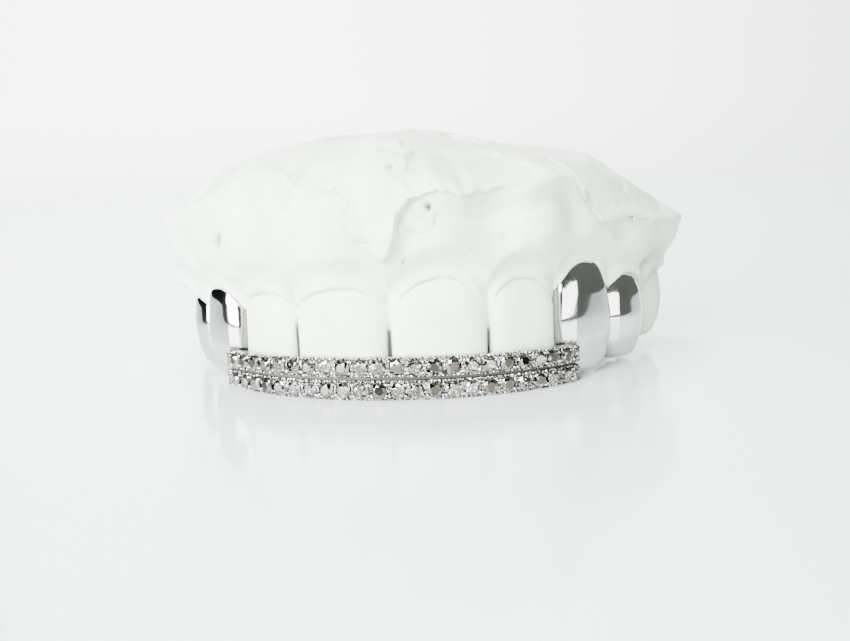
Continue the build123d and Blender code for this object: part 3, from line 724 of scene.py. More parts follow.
def surfaceNet(xs, ys, zs, values):
    # Quads round the places where the field changes sign, one point in each crossed cell
    inside = values < 0
    shape = tuple(n - 1 for n in values.shape)
    total = np.zeros(shape + (3,))
    count = np.zeros(shape)
    axes = (xs, ys, zs)
    for axis in range(3):
        others = [a for a in range(3) if a != axis]
        low = [slice(None)] * 3
        high = [slice(None)] * 3
        low[axis], high[axis] = slice(0, -1), slice(1, None)
        a, b = values[tuple(low)], values[tuple(high)]
        crossed = (a < 0) != (b < 0)
        part = np.where(crossed, a / np.where(crossed, a - b, 1), 0)
        for first in (0, 1):
            for second in (0, 1):
                pick = [slice(None)] * 3
                for other, shift in zip(others, (first, second)):
                    pick[other] = slice(shift, shift + shape[other])
                hit = crossed[tuple(pick)]
                share = part[tuple(pick)]
                count += hit
                total[..., axis] += np.where(hit, share, 0)
                total[..., others[0]] += np.where(hit, first, 0)
                total[..., others[1]] += np.where(hit, second, 0)
    used = count > 0
    number = np.full(shape, -1)
    number[used] = np.arange(used.sum())
    cells = np.argwhere(used)
    spot = total[used] / count[used][:, None]
    verts = np.stack([axes[a][cells[:, a]] + spot[:, a] * (axes[a][cells[:, a] + 1] - axes[a][cells[:, a]])
                      for a in range(3)], 1)
    quads = []
    for axis in range(3):
        p, q = [(1, 2), (2, 0), (0, 1)][axis]
        low = [slice(1, -1)] * 3
        high = [slice(1, -1)] * 3
        low[axis], high[axis] = slice(0, -1), slice(1, None)
        edges = np.argwhere(inside[tuple(low)] != inside[tuple(high)])
        for a in (p, q):
            edges[:, a] += 1
        corner = []
        for dp, dq in ((1, 1), (0, 1), (0, 0), (1, 0)):
            cell = edges.copy()
            cell[:, p] -= dp
            cell[:, q] -= dq
            corner.append(number[cell[:, 0], cell[:, 1], cell[:, 2]])
        quad = np.stack(corner, 1)
        flip = ~inside[edges[:, 0], edges[:, 1], edges[:, 2]]
        quad[flip] = quad[flip][:, ::-1]
        quads.append(quad)
    return verts, np.concatenate(quads)


def nearValues(xs, ys, zs, field, skip):
    # Field on a grid, worked out in full only near the surface
    rough = [axis[skip // 2::skip] for axis in (xs, ys, zs)]
    grid = np.stack(np.meshgrid(*rough, indexing="ij"), -1)
    coarse = field(grid.reshape(-1, 3)).reshape(grid.shape[:3])
    near = np.abs(coarse) < 1.6 * skip * (xs[1] - xs[0])
    for axis in range(3):
        grown = near.copy()
        low, high = [slice(None)] * 3, [slice(None)] * 3
        low[axis], high[axis] = slice(0, -1), slice(1, None)
        grown[tuple(high)] |= near[tuple(low)]
        grown[tuple(low)] |= near[tuple(high)]
        near = grown
    pick = np.ix_(*[np.minimum(np.arange(len(a)) // skip, len(r) - 1) for a, r in zip((xs, ys, zs), rough)])
    values, near = coarse[pick], near[pick]
    full = np.stack(np.meshgrid(xs, ys, zs, indexing="ij"), -1)
    values[near] = field(full[near])
    return values


def settle(points, field, rounds, most):
    # Moves points onto the surface of a field by a few steps along its slope
    reach = 0.04
    for _ in range(rounds):
        value = field(points)
        slope = np.stack([field(points + np.eye(3)[a] * reach) - value for a in range(3)], 1) / reach
        steep = np.maximum((slope ** 2).sum(1), 0.15)
        move = -(value / steep)[:, None] * slope
        length = np.linalg.norm(move, axis=1, keepdims=True)
        points = points + move * np.minimum(1, most / np.maximum(length, 1e-9))
    return points


def hollowness(mesh, rounds):
    # How deep each point lies among its neighbours, in mm
    points = pointArray(mesh) / mm
    edges = np.empty(len(mesh.edges) * 2, int)
    mesh.edges.foreach_get("vertices", edges)
    edges = edges.reshape(-1, 2)
    count = np.bincount(edges.ravel(), minlength=len(points))[:, None]
    smooth = points
    for _ in range(rounds):
        total = np.zeros_like(points)
        np.add.at(total, edges[:, 0], smooth[edges[:, 1]])
        np.add.at(total, edges[:, 1], smooth[edges[:, 0]])
        smooth = total / np.maximum(count, 1)
    normals = np.empty(len(points) * 3)
    mesh.vertex_normals.foreach_get("vector", normals)
    return ((smooth - points) * normals.reshape(-1, 3)).sum(1)


def makeCast():
    xs, ys, zs = (np.arange(low, high, cast["cell"]) for low, high in zip(cast["corner"], cast["farCorner"]))
    values = nearValues(xs, ys, zs, castField, cast["skip"])
    verts, quads = surfaceNet(xs, ys, zs, values)
    rounds, first, second = cast["settle"]
    verts = settle(verts, castField, rounds, first)
    thing = meshObject("plasterCast", verts, quads.tolist(), plaster)
    print("cast net", len(quads), "faces")
    made = bmesh.new()
    made.from_mesh(thing.data)
    along, reach = archOf(verts)
    inside, sides, low = cast["fine"]
    front = (reach > inside) & (np.abs(along) < sides) & (verts[:, 2] > low)
    chosen = [e for e in made.edges if front[e.verts[0].index] and front[e.verts[1].index]]
    bmesh.ops.subdivide_edges(made, edges=chosen, cuts=1, use_grid_fill=True)
    bmesh.ops.triangulate(made, faces=[f for f in made.faces if len(f.verts) > 4])
    made.to_mesh(thing.data)
    made.free()
    points = settle(pointArray(thing.data) / mm, castField, rounds, second)
    points[:, 1] = np.minimum(points[:, 1], cast["back"])
    setPoints(thing.data, points * mm)
    # The cast's painted shade, as a point attribute
    paintPoints(thing.data, "plasterShade", plasterShadeValues(thing.data))
    thing.data.polygons.foreach_set("use_smooth", [True] * len(thing.data.polygons))
    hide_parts("dental_cast")
    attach(thing, "root")
    print("cast", len(thing.data.polygons), "faces")


makeCast()

# Metal: four caps shaped by the teeth they cover, and a bar of two set bands on a backing plate
grill = {
    "wall": 0.45, "gap": 0.10,  # mm, cap wall and its clearance over the tooth
    "columns": 112, "outerRows": 44, "innerRows": 14, "crowd": 1.4,  # mesh of a cap, crowded towards its tip
    "roundFront": 0.80, "roundInside": 0.95, "tip": 0.7,  # power of the section's oval, mm over which the tip closes
    "rim": (0.15, 0.4, 0.7, 0.92), "rimLift": 0.11,  # shares across the wall, mm that the rim is crowned
    "edgeStart": 8.0, "edgeRounds": 4, "edgeSoft": 9,  # how a cap's edge is found on the gum, then evened
    "shadeSideFrom": (0.80, 0.9), "shadeSideWide": 1.03,  # shares of a cap's half width where its side with painted shade begins
    "shadeSideBehind": -1.1, "shadeSideLow": 3.6,  # mm, its limits in front and below
    "barShade": 0.42, "undersideShadeTop": 0.12, "grooveShadeIn": 0.75, "barInside": 0.15,  # painted shade in the bar's groove and on its underside
    "overGum": 0.12,  # how far a cap's edge rides up on the gum
    "barReach": 17.75, "stations": 230, "endTaper": 0.15,
    "rowHeight": 1.84, "groove": 0.22,
    "bandRound": 0.28, "plateRound": 0.2, "bridgeRound": 0.3, "bridgeStations": 14,  # mm, rounded ends
    "smoothBelow": 40,  # degrees
    "bridge": (16.4, 17.7), "bridgeSection": [
        (-1.3, -0.6), (-1.3, 0.6), (-0.6, 0.74), (0.3, 0.78), (0.3, -0.78), (-0.6, -0.74)],
    "plate": [(0.10, -0.76), (0.10, 0.76), (0.62, 0.76), (0.62, -0.76)],
    "band": [  # reach outside the arch line, height from the band's middle: half of a closed section
        (0.22, 0.86), (0.30, 0.92), (0.86, 0.92), (0.96, 0.90), (1.02, 0.86), (1.03, 0.81), (0.99, 0.77),
        (0.97, 0.70), (1.02, 0.48), (1.06, 0.22), (1.07, 0.0)],
}
stones = {
    "diameter": 1.46, "pitch": 1.58, "count": 22, "reach": 1.18,
    "table": 0.56, "star": 0.78, "lower": 0.24, "crown": 34.5, "pavilion": 41.0, "girdle": 0.025,
    "tilt": 8.0, "seed": 21, "darkShare": 0.55, "darkCrown": 0.22, "darkTable": 0.4,  # shares of flats with a painted dark reflection
    "facetLow": -0.2, "facetHigh": (0.2, 0.95),  # a flat's upward slope: pavilion below, crown between, table above
    "seatSlack": 0.02, "seatMouth": 0.6, "seatStep": -0.03, "seatTip": 0.12, "seatDeep": 0.80, "seatSides": 32,
    "bead": 0.19, "beadReach": 1.15, "beadOut": 0.50, "beadGap": 0.13,  # mm, and half the distance between a pair
    "beadStray": (0.02, 0.015), "beadSizes": (0.8, 1.12), "milStray": 0.01, "milSizes": (0.85, 1.15), "milEnd": 0.3,
    "milgrain": 0.33, "milReach": 1.02, "milLift": 0.78, "milSize": 0.15,  # fine beads rolled along both rims
}
cappedTeeth = [cast["teeth"][2], cast["teeth"][3]]


def capRing(tooth, side, turn, z, grow, close):
    # Points of a cap's wall at given turns and heights, in mm
    kind, middle, width, depth, height, edge, proud = tooth
    halfWide, near, far = toothWalls(tooth, z, grow)
    power = np.where(np.sin(turn) < 0, grill["roundFront"], grill["roundInside"])
    across = np.sign(np.cos(turn)) * np.abs(np.cos(turn)) ** power * halfWide * close
    deep = (near + far) / 2 + np.sign(np.sin(turn)) * np.abs(np.sin(turn)) ** power * (far - near) / 2 * close
    if kind == "premolar":
        radius = width / 2 - grow
        low = edge + cast["valley"] - width / 2
        z = np.maximum(z, low + np.sqrt(np.maximum(radius ** 2 - (deep - depth / 2) ** 2, 0)))
    ox, oy, heading = (float(v) for v in archAt(side * middle))
    c, s = math.cos(heading), math.sin(heading)
    return np.stack([ox + across * c - deep * s, oy + across * s + deep * c, z], -1)


def capEdge(tooth, side, turn):
    # Height of a cap's edge all round, where it meets the gum
    top = np.full(len(turn), grill["edgeStart"])
    for step in range(grill["edgeRounds"]):
        along, reach = toArch(capRing(tooth, side, turn, top, grill["gap"] + grill["wall"], 1.0)[:, :2])
        top = gumEdge(along, reach) + grill["overGum"]
    window = np.hanning(grill["edgeSoft"])
    ends = grill["edgeSoft"] // 2
    return np.convolve(np.concatenate([top[-ends:], top, top[:ends]]), window / window.sum(), mode="valid")


def towardsTip(rows):
    return (np.arange(1, rows + 1) / rows) ** grill["crowd"]


def capMesh(tooth, side):
    turn = np.linspace(0, 2 * math.pi, grill["columns"], endpoint=False) + 0.01
    top = capEdge(tooth, side, turn)
    outer, inner = grill["gap"] + grill["wall"], grill["gap"]
    rings = []
    for grow, shares in ((outer, towardsTip(grill["outerRows"])), (inner, towardsTip(grill["innerRows"])[::-1])):
        bottom = tooth[5] - grow
        if grow == inner:  # rounded rim between the two walls
            for part in grill["rim"]:
                lift = grill["rimLift"] * math.sin(math.pi * part)
                rings.append(capRing(tooth, side, turn, top + lift, outer + (grow - outer) * part, 1.0))
        for share in shares:
            z = bottom + (top - bottom) * share
            near = np.clip((z - bottom) / grill["tip"], 0, 1)
            rings.append(capRing(tooth, side, turn, z, grow, np.sqrt(1 - (1 - near) ** 2)))
    points = np.concatenate(rings)
    n = grill["columns"]
    faces = []
    for r in range(len(rings) - 1):
        for c in range(n):
            d = (c + 1) % n
            faces.append((r * n + c, r * n + d, (r + 1) * n + d, (r + 1) * n + c))
    for ring, flip in ((0, True), (len(rings) - 1, False)):  # close the two poles
        hub = len(points)
        points = np.concatenate([points, points[ring * n:(ring + 1) * n].mean(0)[None]])
        for c in range(n):
            d = (c + 1) % n
            pair = (ring * n + d, ring * n + c) if flip else (ring * n + c, ring * n + d)
            faces.append((hub,) + pair)
    return points, faces


def taperAt(along):
    return 1 - grill["endTaper"] * (along / grill["barReach"]) ** 2


def rowMiddle(row, along):
    return (row * (grill["rowHeight"] + grill["groove"]) + grill["rowHeight"] / 2) * taperAt(along)


def sweep(section, middle, rounding, low=-grill["barReach"], high=grill["barReach"], stations=grill["stations"]):
    # Closed bar that follows the arch, from a closed section of (reach, height)
    ends = rounding * (1 - np.cos(np.linspace(0, math.pi / 2, 6)))
    middlePart = np.linspace(low + rounding, high - rounding, stations)[1:-1]
    along = np.concatenate([low + ends, middlePart, high - ends[::-1]])
    inset = np.clip((np.abs(along - (low + high) / 2) - (high - low) / 2 + rounding) / rounding, 0, 1)
    shrink = rounding * (1 - np.sqrt(1 - inset ** 2))
    section = np.array(section)
    points = []
    for s, less in zip(along, shrink):
        taper = taperAt(s)
        tall = section[:, 1] * taper
        tall = np.sign(tall) * np.maximum(np.abs(tall) - less, 0.02)
        out = np.minimum(section[:, 0], section[:, 0].max() - less * 0.6)
        x, y = outward(np.full(len(section), s), out)
        points.append(np.stack([x, y, middle(s) + tall], 1))
    n = len(section)
    faces = [(r * n + c, r * n + (c + 1) % n, (r + 1) * n + (c + 1) % n, (r + 1) * n + c)
             for r in range(len(along) - 1) for c in range(n)]
    faces += [tuple(range(n))[::-1], tuple(range((len(along) - 1) * n, len(along) * n))]
    return np.concatenate(points), faces


def stoneStations():
    half = [stones["pitch"] / 2]
    while len(half) < stones["count"] // 2:
        half.append(half[-1] + stones["pitch"] * float(taperAt(half[-1])))
    return [-s for s in half[::-1]] + half


def frameAt(along, row, reach, lift=0.0):
    # Place on a band and its outward-facing turn as a matrix, in mm
    x, y = outward(np.array([along]), reach)
    turn = float(archAt(along)[2])
    across = Vector((math.cos(turn), math.sin(turn), 0))
    out = Vector((math.sin(turn), -math.cos(turn), 0))
    place = Matrix((across, Vector((0, 0, 1)), out)).transposed().to_4x4()
    place.translation = Vector((float(x[0]), float(y[0]), float(rowMiddle(row, along)) + lift))
    return place


def seatCutter(row):
    # Cone and mouth of every seat in one row
    verts, faces = [], []
    sides = stones["seatSides"]
    mouth, step = stones["seatMouth"], stones["seatStep"]
    for along in stoneStations():
        place = frameAt(along, row, stones["reach"])
        radius = (stones["diameter"] / 2 + stones["seatSlack"]) * float(taperAt(along))
        first = len(verts)
        tip = (radius * stones["seatTip"], step - radius * stones["seatDeep"])
        for r, out in ((radius, mouth), (radius, step), tip):
            for i in range(sides):
                a = 2 * math.pi * i / sides
                verts.append(tuple(place @ Vector((r * math.cos(a), r * math.sin(a), out))))
        for ring in range(2):
            for i in range(sides):
                j = (i + 1) % sides
                faces.append((first + ring * sides + j, first + ring * sides + i,
                              first + (ring + 1) * sides + i, first + (ring + 1) * sides + j))
        faces.append(tuple(first + i for i in range(sides)))
        faces.append(tuple(first + 2 * sides + i for i in range(sides))[::-1])
    return verts, faces


def joinObjects(name, things):
    # Joins the meshes of several objects into a new one
    made = bmesh.new()
    for thing in things:
        made.from_mesh(thing.data)
    joined = linkObject(name, toMesh(made, name))
    for material in things[0].data.materials:
        joined.data.materials.append(material)
    for thing in things:
        bpy.data.objects.remove(thing)
    return joined


def pointOutward(thing):
    made = bmesh.new()
    made.from_mesh(thing.data)
    bmesh.ops.recalc_face_normals(made, faces=made.faces)
    made.to_mesh(thing.data)
    made.free()


def placingTree():
    # Sets a small piece on every point, turned and scaled by the point's own attributes
    tree = bpy.data.node_groups.new("setOnPoints", "GeometryNodeTree")
    for name, kind in (("Points", "Geometry"), ("Piece", "Object"), ("Size", "Float"), ("Spin", "Float"),
                       ("Tilt", "Float"), ("Seed", "Int"), ("Finish", "Material")):
        tree.interface.new_socket(name, in_out="INPUT", socket_type="NodeSocket" + kind)
    tree.interface.new_socket("Set", in_out="OUTPUT", socket_type="NodeSocketGeometry")
    given = addNode(tree, "NodeGroupInput")
    piece = addNode(tree, "GeometryNodeObjectInfo", links={"Object": given.outputs["Piece"]})
    turn = addNode(tree, "GeometryNodeInputNamedAttribute", {"data_type": "FLOAT_VECTOR"}, {"Name": "turn"})
    share = addNode(tree, "GeometryNodeInputNamedAttribute", {"data_type": "FLOAT"}, {"Name": "share"})
    lean = addNode(tree, "ShaderNodeMath", {"operation": "MULTIPLY"}, {1: -1.0}, {0: given.outputs["Tilt"]})
    spins = []
    for most, offset in (("Tilt", 1), ("Tilt", 2), ("Spin", 3)):
        seed = addNode(tree, "ShaderNodeMath", {"operation": "ADD"}, {1: float(offset)}, {0: given.outputs["Seed"]})
        links = {"Max": given.outputs[most], "Seed": seed.outputs[0]}
        if most == "Tilt":  # a tilt goes both ways
            links["Min"] = lean.outputs[0]
        spins.append(addNode(tree, "FunctionNodeRandomValue", {"data_type": "FLOAT"}, links=links).outputs["Value"])
    angles = addNode(tree, "ShaderNodeCombineXYZ", links={"X": spins[0], "Y": spins[1], "Z": spins[2]})
    own = addNode(tree, "FunctionNodeEulerToRotation", links={"Euler": angles.outputs[0]})
    base = addNode(tree, "FunctionNodeEulerToRotation", links={"Euler": turn.outputs["Attribute"]})
    both = addNode(tree, "FunctionNodeRotateRotation", {"rotation_space": "LOCAL"},
                   links={"Rotation": base.outputs[0], "Rotate By": own.outputs[0]})
    size = addNode(tree, "ShaderNodeMath", {"operation": "MULTIPLY"},
                   links={0: share.outputs["Attribute"], 1: given.outputs["Size"]})
    put = addNode(tree, "GeometryNodeInstanceOnPoints", links={
        "Points": given.outputs["Points"], "Instance": piece.outputs["Geometry"], "Rotation": both.outputs[0],
        "Scale": size.outputs[0]})
    real = addNode(tree, "GeometryNodeRealizeInstances", links={"Geometry": put.outputs[0]})
    finish = addNode(tree, "GeometryNodeSetMaterial", links={
        "Geometry": real.outputs[0], "Material": given.outputs["Finish"]})
    addNode(tree, "NodeGroupOutput", links={"Set": finish.outputs[0]})
    return tree


def setPieces(name, tree, places, shares, piece, size, spin, tilt, seed, material):
    # One mesh of a small piece set at many places
    mesh = bpy.data.meshes.new(name)
    mesh.from_pydata([tuple(p.translation * mm) for p in places], [], [])
    turn = mesh.attributes.new("turn", "FLOAT_VECTOR", "POINT")
    turn.data.foreach_set("vector", np.array([tuple(p.to_euler()) for p in places]).ravel())
    paintPoints(mesh, "share", shares)
    thing = linkObject(name, mesh)
    modifier = thing.modifiers.new("set", "NODES")
    modifier.node_group = tree
    values = {"Piece": piece, "Size": size * mm, "Spin": spin, "Tilt": tilt, "Seed": seed, "Finish": material}
    for item in tree.interface.items_tree:
        if item.name in values and item.in_out == "INPUT":
            modifier[item.identifier] = values[item.name]
    return applyModifiers(thing)


def brilliant():
    # Round brilliant of radius 1 with its girdle at zero and its table upwards
    crown, pavilion = math.tan(math.radians(stones["crown"])), math.tan(math.radians(stones["pavilion"]))
    g = stones["girdle"]
    points = [(0, 0, -g - pavilion)]
    for i in range(16):
        a = math.pi * i / 8
        c, s = math.cos(a), math.sin(a)
        points += [(c, s, g), (c, s, -g)]
        between = math.cos(math.pi / 8)
        if i % 2 == 0:
            t = stones["table"]
            points.append((t * c, t * s, g + (1 - t) * crown))
        else:
            t, low = stones["star"], stones["lower"]
            points.append((t * c, t * s, g + (1 - t * between) * crown))
            points.append((low * c, low * s, -g - (1 - low * between) * pavilion))
    made = bmesh.new()
    for p in points:
        made.verts.new(p)
    bmesh.ops.convex_hull(made, input=made.verts)
    bmesh.ops.recalc_face_normals(made, faces=made.faces)
    mesh = toMesh(made, "brilliantCut")
    # Some flats get a painted dark reflection: one shade for each flat, however many triangles it has
    rng = np.random.default_rng(stones["seed"])
    shades = {}
    flats = [tuple(round(c, 2) for c in face.normal) for face in mesh.polygons]
    low, high = stones["facetHigh"]
    for face, flat in zip(mesh.polygons, flats):
        limit = 0
        if face.normal.z < stones["facetLow"]:
            limit = stones["darkShare"]
        elif low < face.normal.z < high:
            limit = stones["darkCrown"]
        dark = rng.random() < limit
        shades.setdefault(flat, dark)
    darkReflection = mesh.attributes.new("darkReflection", "FLOAT", "FACE")
    darkReflection.data.foreach_set("value", [float(shades[flat]) for flat in flats])
    return linkObject("brilliantCut", mesh)


def grain(detail):
    made = bmesh.new()
    bmesh.ops.create_icosphere(made, subdivisions=detail, radius=1.0)
    mesh = toMesh(made, "grain")
    mesh.polygons.foreach_set("use_smooth", [True] * len(mesh.polygons))
    return linkObject("grain", mesh)


def setBand(row):
    # Half-round band with its seats cut, bright cut on its front and in the seats
    half = grill["band"]
    section = half + [(r, -h) for r, h in half[-2::-1]]
    band = meshObject("band", *sweep(section, lambda s: float(rowMiddle(row, s)), grill["bandRound"]), whiteGold)
    band.data.materials.append(seatMetal)
    edge = [min(section[i][0], section[(i + 1) % len(section)][0]) > 0.5 for i in range(len(section))]
    for i, face in enumerate(band.data.polygons):
        face.material_index = 1 if edge[i % len(section)] and len(face.vertices) == 4 else 0
    pointOutward(band)
    cutter = meshObject("seats", *seatCutter(row), whiteGold)
    cutter.data.materials.append(seatMetal)
    cutter.data.polygons.foreach_set("material_index", [1] * len(cutter.data.polygons))
    pointOutward(cutter)
    cut = band.modifiers.new("seats", "BOOLEAN")
    cut.operation = "DIFFERENCE"
    cut.solver = "EXACT"
    cut.object = cutter
    applyModifiers(band)
    bpy.data.objects.remove(cutter)
    return band


def wholeBar(name, section, rounding, *ends):
    # A part as tall as both bands with their groove
    tall = 2 * grill["rowHeight"] + grill["groove"]
    thing = meshObject(name, *sweep([(r, h * tall / grill["rowHeight"]) for r, h in section],
                       lambda s: float(taperAt(s)) * tall / 2, rounding, *ends), whiteGold)
    pointOutward(thing)
    return thing


def grainPlaces(rng):
    # Two pairs of raised grains between each stone and the next, and at both ends
    places, shares = [], []
    stations = stoneStations()
    for row in (0, 1):
        for i in range(len(stations) + 1):
            if 0 < i < len(stations):
                middle = (stations[i - 1] + stations[i]) / 2
            else:
                edge = stations[0] if i == 0 else stations[-1]
                middle = edge + math.copysign(stones["pitch"] / 2 * float(taperAt(edge)), edge)
            for up in (-1, 1):
                for shift in (-stones["beadGap"], stones["beadGap"]):
                    lift = up * stones["beadOut"] * float(taperAt(middle)) + rng.normal(0, stones["beadStray"][0])
                    along = middle + shift + rng.normal(0, stones["beadStray"][1])
                    places.append(frameAt(along, row, stones["beadReach"], lift))
                    shares.append(float(taperAt(middle)) * rng.uniform(*stones["beadSizes"]))
    return places, shares


def milgrainPlaces(rng):
    places, shares = [], []
    count = int(2 * (grill["barReach"] - stones["milEnd"]) / stones["milgrain"])
    for row in (0, 1):
        for i in range(count):
            along = (i - (count - 1) / 2) * stones["milgrain"] + rng.normal(0, stones["milStray"])
            for up in (-1, 1):
                places.append(frameAt(along, row, stones["milReach"], up * stones["milLift"] * float(taperAt(along))))
                shares.append(rng.uniform(*stones["milSizes"]))
    return places, shares


def paintMetalShade(metal):
    # Painted shade on the side of each canine cap that faces the bare teeth, in the groove and underneath
    points = pointArray(metal.data) / mm
    share = np.zeros(len(points))
    kind, middle, width, depth, height, edge, proud = cappedTeeth[0]
    wide = toothSections(kind, (points[:, 2] - edge) / height)[0] * width / 2 + grill["gap"] + grill["wall"]
    for side in (-1, 1):
        across, deep = besideTooth(cappedTeeth[0], side, points)
        near = (np.abs(across) < wide * grill["shadeSideWide"]) & (deep > grill["shadeSideBehind"]) & (deep < depth)
        near = near & (points[:, 2] > grill["shadeSideLow"])
        share += near * smoothStep(*grill["shadeSideFrom"], -side * across / wide)
    along, reach = toArch(points[:, :2])
    bar = (np.abs(along) < grill["barReach"]) & (reach > grill["barInside"])
    groove = bar & (reach < grill["grooveShadeIn"]) & (points[:, 2] < 2 * grill["rowHeight"])
    share[groove | (bar & (points[:, 2] < grill["undersideShadeTop"]))] = grill["barShade"]
    paintPoints(metal.data, "metalShade", np.clip(share, 0, 1))


def makeMetal(tree, grainPiece, milPiece):
    parts = [setBand(0), setBand(1), wholeBar("plate", grill["plate"], grill["plateRound"])]
    for side in (-1, 1):  # solder that fills the corner between the bar's end and the canine cap
        ends = sorted(side * s for s in grill["bridge"])
        parts.append(wholeBar("solder", grill["bridgeSection"], grill["bridgeRound"], *ends, grill["bridgeStations"]))
    for tooth in cappedTeeth:
        for side in (-1, 1):
            cap = meshObject("cap", *capMesh(tooth, side), whiteGold)
            pointOutward(cap)
            parts.append(cap)
    rng = np.random.default_rng(stones["seed"])
    places, shares = grainPlaces(rng)
    parts.append(setPieces("grains", tree, places, shares, grainPiece, stones["bead"], 1.0, 0.0, 3, whiteGold))
    places, shares = milgrainPlaces(rng)
    parts.append(setPieces("milgrain", tree, places, shares, milPiece, stones["milSize"], 3.0, 0.5, 5, whiteGold))
    metal = joinObjects("grillMetal", parts)
    metal.data.polygons.foreach_set("use_smooth", [True] * len(metal.data.polygons))
    metal.data.set_sharp_from_angle(angle=math.radians(grill["smoothBelow"]))
    paintMetalShade(metal)
    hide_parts("grill_frame")
    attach(metal, "root")
    print("metal", len(metal.data.polygons), "faces")


def darkenTables(piece, cutPiece, count, rng):
    # Some stones' tables get a painted dark reflection
    darkReflection = piece.data.attributes["darkReflection"]
    shade = np.empty(len(darkReflection.data))
    darkReflection.data.foreach_get("value", shade)
    shade = shade.reshape(count, -1)
    table = [f.index for f in cutPiece.data.polygons if f.normal.z > stones["facetHigh"][1]]
    shade[np.ix_(rng.random(count) < stones["darkTable"], table)] = 1.0
    darkReflection.data.foreach_set("value", shade.ravel())


def makeStones(tree, cutPiece):
    for row, name, node in ((0, "lowerDiamonds", "lower_stones"), (1, "upperDiamonds", "upper_stones")):
        stations = stoneStations()
        places = [frameAt(s, row, stones["reach"]) for s in stations]
        shares = [float(taperAt(s)) for s in stations]
        piece = setPieces(name, tree, places, shares, cutPiece, stones["diameter"] / 2, 2 * math.pi,
                          math.radians(stones["tilt"]), stones["seed"] + 10 * row, diamond)
        darkenTables(piece, cutPiece, len(stations), np.random.default_rng(stones["seed"] + row))
        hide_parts(node)
        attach(piece, "root")
        print(name, len(piece.data.polygons), "faces")


placing = placingTree()
cutPiece, grainPiece, milPiece = brilliant(), grain(2), grain(1)
makeMetal(placing, grainPiece, milPiece)
makeStones(placing, cutPiece)
for helper in (cutPiece, grainPiece, milPiece):
    bpy.data.objects.remove(helper)


# White table and wall, lit from behind
stage = {
    "floor": "#DEE7E9", "wall": "#F3F5F4", "wallPaint": "#C9CCCB", "wallGlow": 3.6,
    "edge": 250.0, "wallHalf": 180.0, "wallTop": 220.0, "floorHalf": 185.0, "floorFront": 480.0,  # mm
    "streak": 9, "drawnOut": (1.0, 0.06, 1.0), "gloss": (0.10, 0.2),  # mm between streaks, roughness
    "glowRise": 22, "glowLow": 0.55, "glowSpan": (-60, 110), "glowRight": 0.05,  # mm and shares of the glow
}


def makeStage():
    # Table: white high-gloss laminate, which gives a soft streaky mirror image
    material, tree, out, spot = startMaterial("glossWhiteLaminate", stage["floor"])
    drawn = addNode(tree, "ShaderNodeMapping", inputs={"Scale": stage["drawnOut"]}, links={"Vector": spot})
    smear = addNode(tree, "ShaderNodeTexNoise", inputs={"Scale": 1 / (stage["streak"] * mm), "Detail": 3},
                    links={"Vector": drawn.outputs[0]})
    rough = span(tree, smear.outputs["Fac"], 0.35, 0.7, *stage["gloss"])
    shader = addNode(tree, "ShaderNodeBsdfPrincipled", inputs={"Base Color": srgb(stage["floor"]), "IOR": 1.9},
                     links={"Roughness": rough})
    tree.links.new(shader.outputs[0], out.inputs[0])
    wide, front, edge = stage["floorHalf"], -stage["floorFront"], stage["edge"]
    corners = [(-wide, front, 0), (wide, front, 0), (wide, edge, 0), (-wide, edge, 0)]
    floor = meshObject("tableTop", corners, [(0, 1, 2, 3)], material, False)
    # Wall: matt white paint with a painted glow of light that fades to the right and towards the table
    material, tree, out, spot = startMaterial("glowingWhiteWall", stage["wall"])
    axes = addNode(tree, "ShaderNodeSeparateXYZ", links={"Vector": spot})
    low = span(tree, axes.outputs["Z"], 0.0, stage["glowRise"] * mm, stage["glowLow"], 1.0)
    start, end = (s * mm for s in stage["glowSpan"])
    side = span(tree, axes.outputs["X"], start, end, 1.0, stage["glowRight"])
    glow = addNode(tree, "ShaderNodeMath", {"operation": "MULTIPLY"}, links={0: low, 1: side})
    power = addNode(tree, "ShaderNodeMath", {"operation": "MULTIPLY"}, {1: stage["wallGlow"]}, {0: glow.outputs[0]})
    shader = addNode(tree, "ShaderNodeBsdfPrincipled", inputs={
        "Base Color": srgb(stage["wallPaint"]), "Roughness": 0.9, "Emission Color": srgb(stage["wall"])},
        links={"Emission Strength": power.outputs[0]})
    tree.links.new(shader.outputs[0], out.inputs[0])
    side, top = stage["wallHalf"], stage["wallTop"]
    corners = [(-side, edge, 0), (side, edge, 0), (side, edge, top), (-side, edge, top)]
    wall = meshObject("backWall", corners, [(0, 1, 2, 3)], material, False)


makeStage()

room = {
    "aim": (0, 0, 8),
    "lamps": [  # name, place and size across and up in mm, watts
        ("keySoftbox", (-100, -335, 250), 210, 210, 7.5),
        ("topSoftbox", (-60, 170, 400), 150, 150, 4.2),
        ("leftWindow", (-341, -286, 94), 330, 145, 9.0),
        ("rightWindow", (225, -380, 125), 430, 180, 2.6)],
    "pale": 0.6, "rightShare": 0.05, "fall": (-0.5, 0.6),  # strength, its share at the right, where it falls off
    "darkLeft": "#262B2A", "darkRight": "#9DA399", "paleColour": "#F2F6F5", "darkSpan": (-0.2, 0.6),
    "behind": (0.98, 0.90), "rise": (-0.2, -0.1), "cover": (0.92, 0.75),  # directions where the dark part ends
}


def areaLight(name, place, wide, tall, power):
    # Soft rectangular lamp that faces the object
    data = bpy.data.lights.new(name, "AREA")
    data.shape = "RECTANGLE"
    data.size, data.size_y = wide * mm, tall * mm
    data.energy = power
    spot = Vector(place) * mm
    turn = (Vector(room["aim"]) * mm - spot).to_track_quat("-Z", "Y").to_matrix().to_4x4()
    linkObject(name, data).matrix_world = Matrix.Translation(spot) @ turn


for lamp in room["lamps"]:
    areaLight(*lamp)


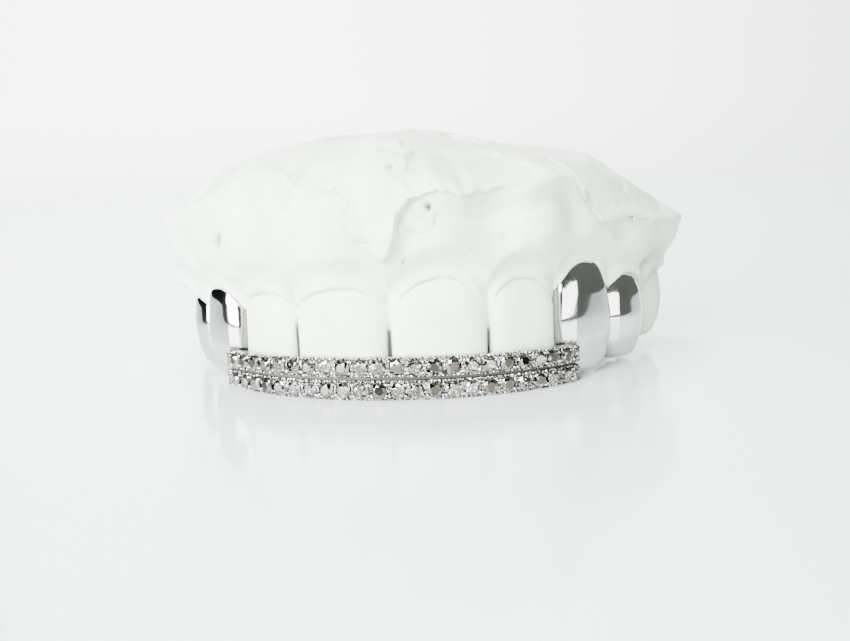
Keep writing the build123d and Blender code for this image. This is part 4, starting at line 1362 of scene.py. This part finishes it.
def makeWorld():
    # A room that is pale to the camera and to matt surfaces. To polished metal and stones it is dark all
    # round, but for straight behind, overhead and below, so that they have something dark to mirror.
    world = bpy.data.worlds.new("paleRoom")
    bpy.context.scene.world = world
    world.use_nodes = True
    tree = world.node_tree
    tree.nodes.clear()
    way = addNode(tree, "ShaderNodeSeparateXYZ", links={
        "Vector": addNode(tree, "ShaderNodeTexCoord").outputs["Generated"]})
    front = span(tree, way.outputs["Y"], *room["behind"], 0.0, 1.0)
    rise = span(tree, way.outputs["Z"], *room["rise"], 0.0, 1.0)
    cover = span(tree, way.outputs["Z"], *room["cover"], 0.0, 1.0)
    both = addNode(tree, "ShaderNodeMath", {"operation": "MULTIPLY"}, links={0: front, 1: rise})
    mask = addNode(tree, "ShaderNodeMath", {"operation": "MULTIPLY"}, links={0: both.outputs[0], 1: cover})
    side = span(tree, way.outputs["X"], *room["darkSpan"], 0.0, 1.0)
    dark = addNode(tree, "ShaderNodeMix", {"data_type": "RGBA"}, {
        "A": srgb(room["darkLeft"]), "B": srgb(room["darkRight"])}, {"Factor": side}).outputs["Result"]
    path = addNode(tree, "ShaderNodeLightPath")
    hidden = addNode(tree, "ShaderNodeMath", {"operation": "MAXIMUM"},
                     links={0: path.outputs["Is Glossy Ray"], 1: path.outputs["Is Transmission Ray"]})
    shade = addNode(tree, "ShaderNodeMath", {"operation": "MULTIPLY"},
                    links={0: mask.outputs[0], 1: hidden.outputs[0]})
    colour = addNode(tree, "ShaderNodeMix", {"data_type": "RGBA"}, {
        "A": srgb(room["paleColour"])}, {"Factor": shade.outputs[0], "B": dark})
    fall = span(tree, way.outputs["X"], *room["fall"], room["pale"], room["pale"] * room["rightShare"])
    seen = addNode(tree, "ShaderNodeMath", {"operation": "MAXIMUM"},
                   links={0: hidden.outputs[0], 1: path.outputs["Is Camera Ray"]})  # the room itself is evenly pale
    power = addNode(tree, "ShaderNodeMix", {"data_type": "FLOAT"}, {"B": room["pale"]},
                    {"Factor": seen.outputs[0], "A": fall}).outputs["Result"]
    glow = addNode(tree, "ShaderNodeBackground", links={"Color": colour.outputs["Result"], "Strength": power})
    addNode(tree, "ShaderNodeOutputWorld", links={"Surface": glow.outputs[0]})


makeWorld()
print("stage and lights placed")
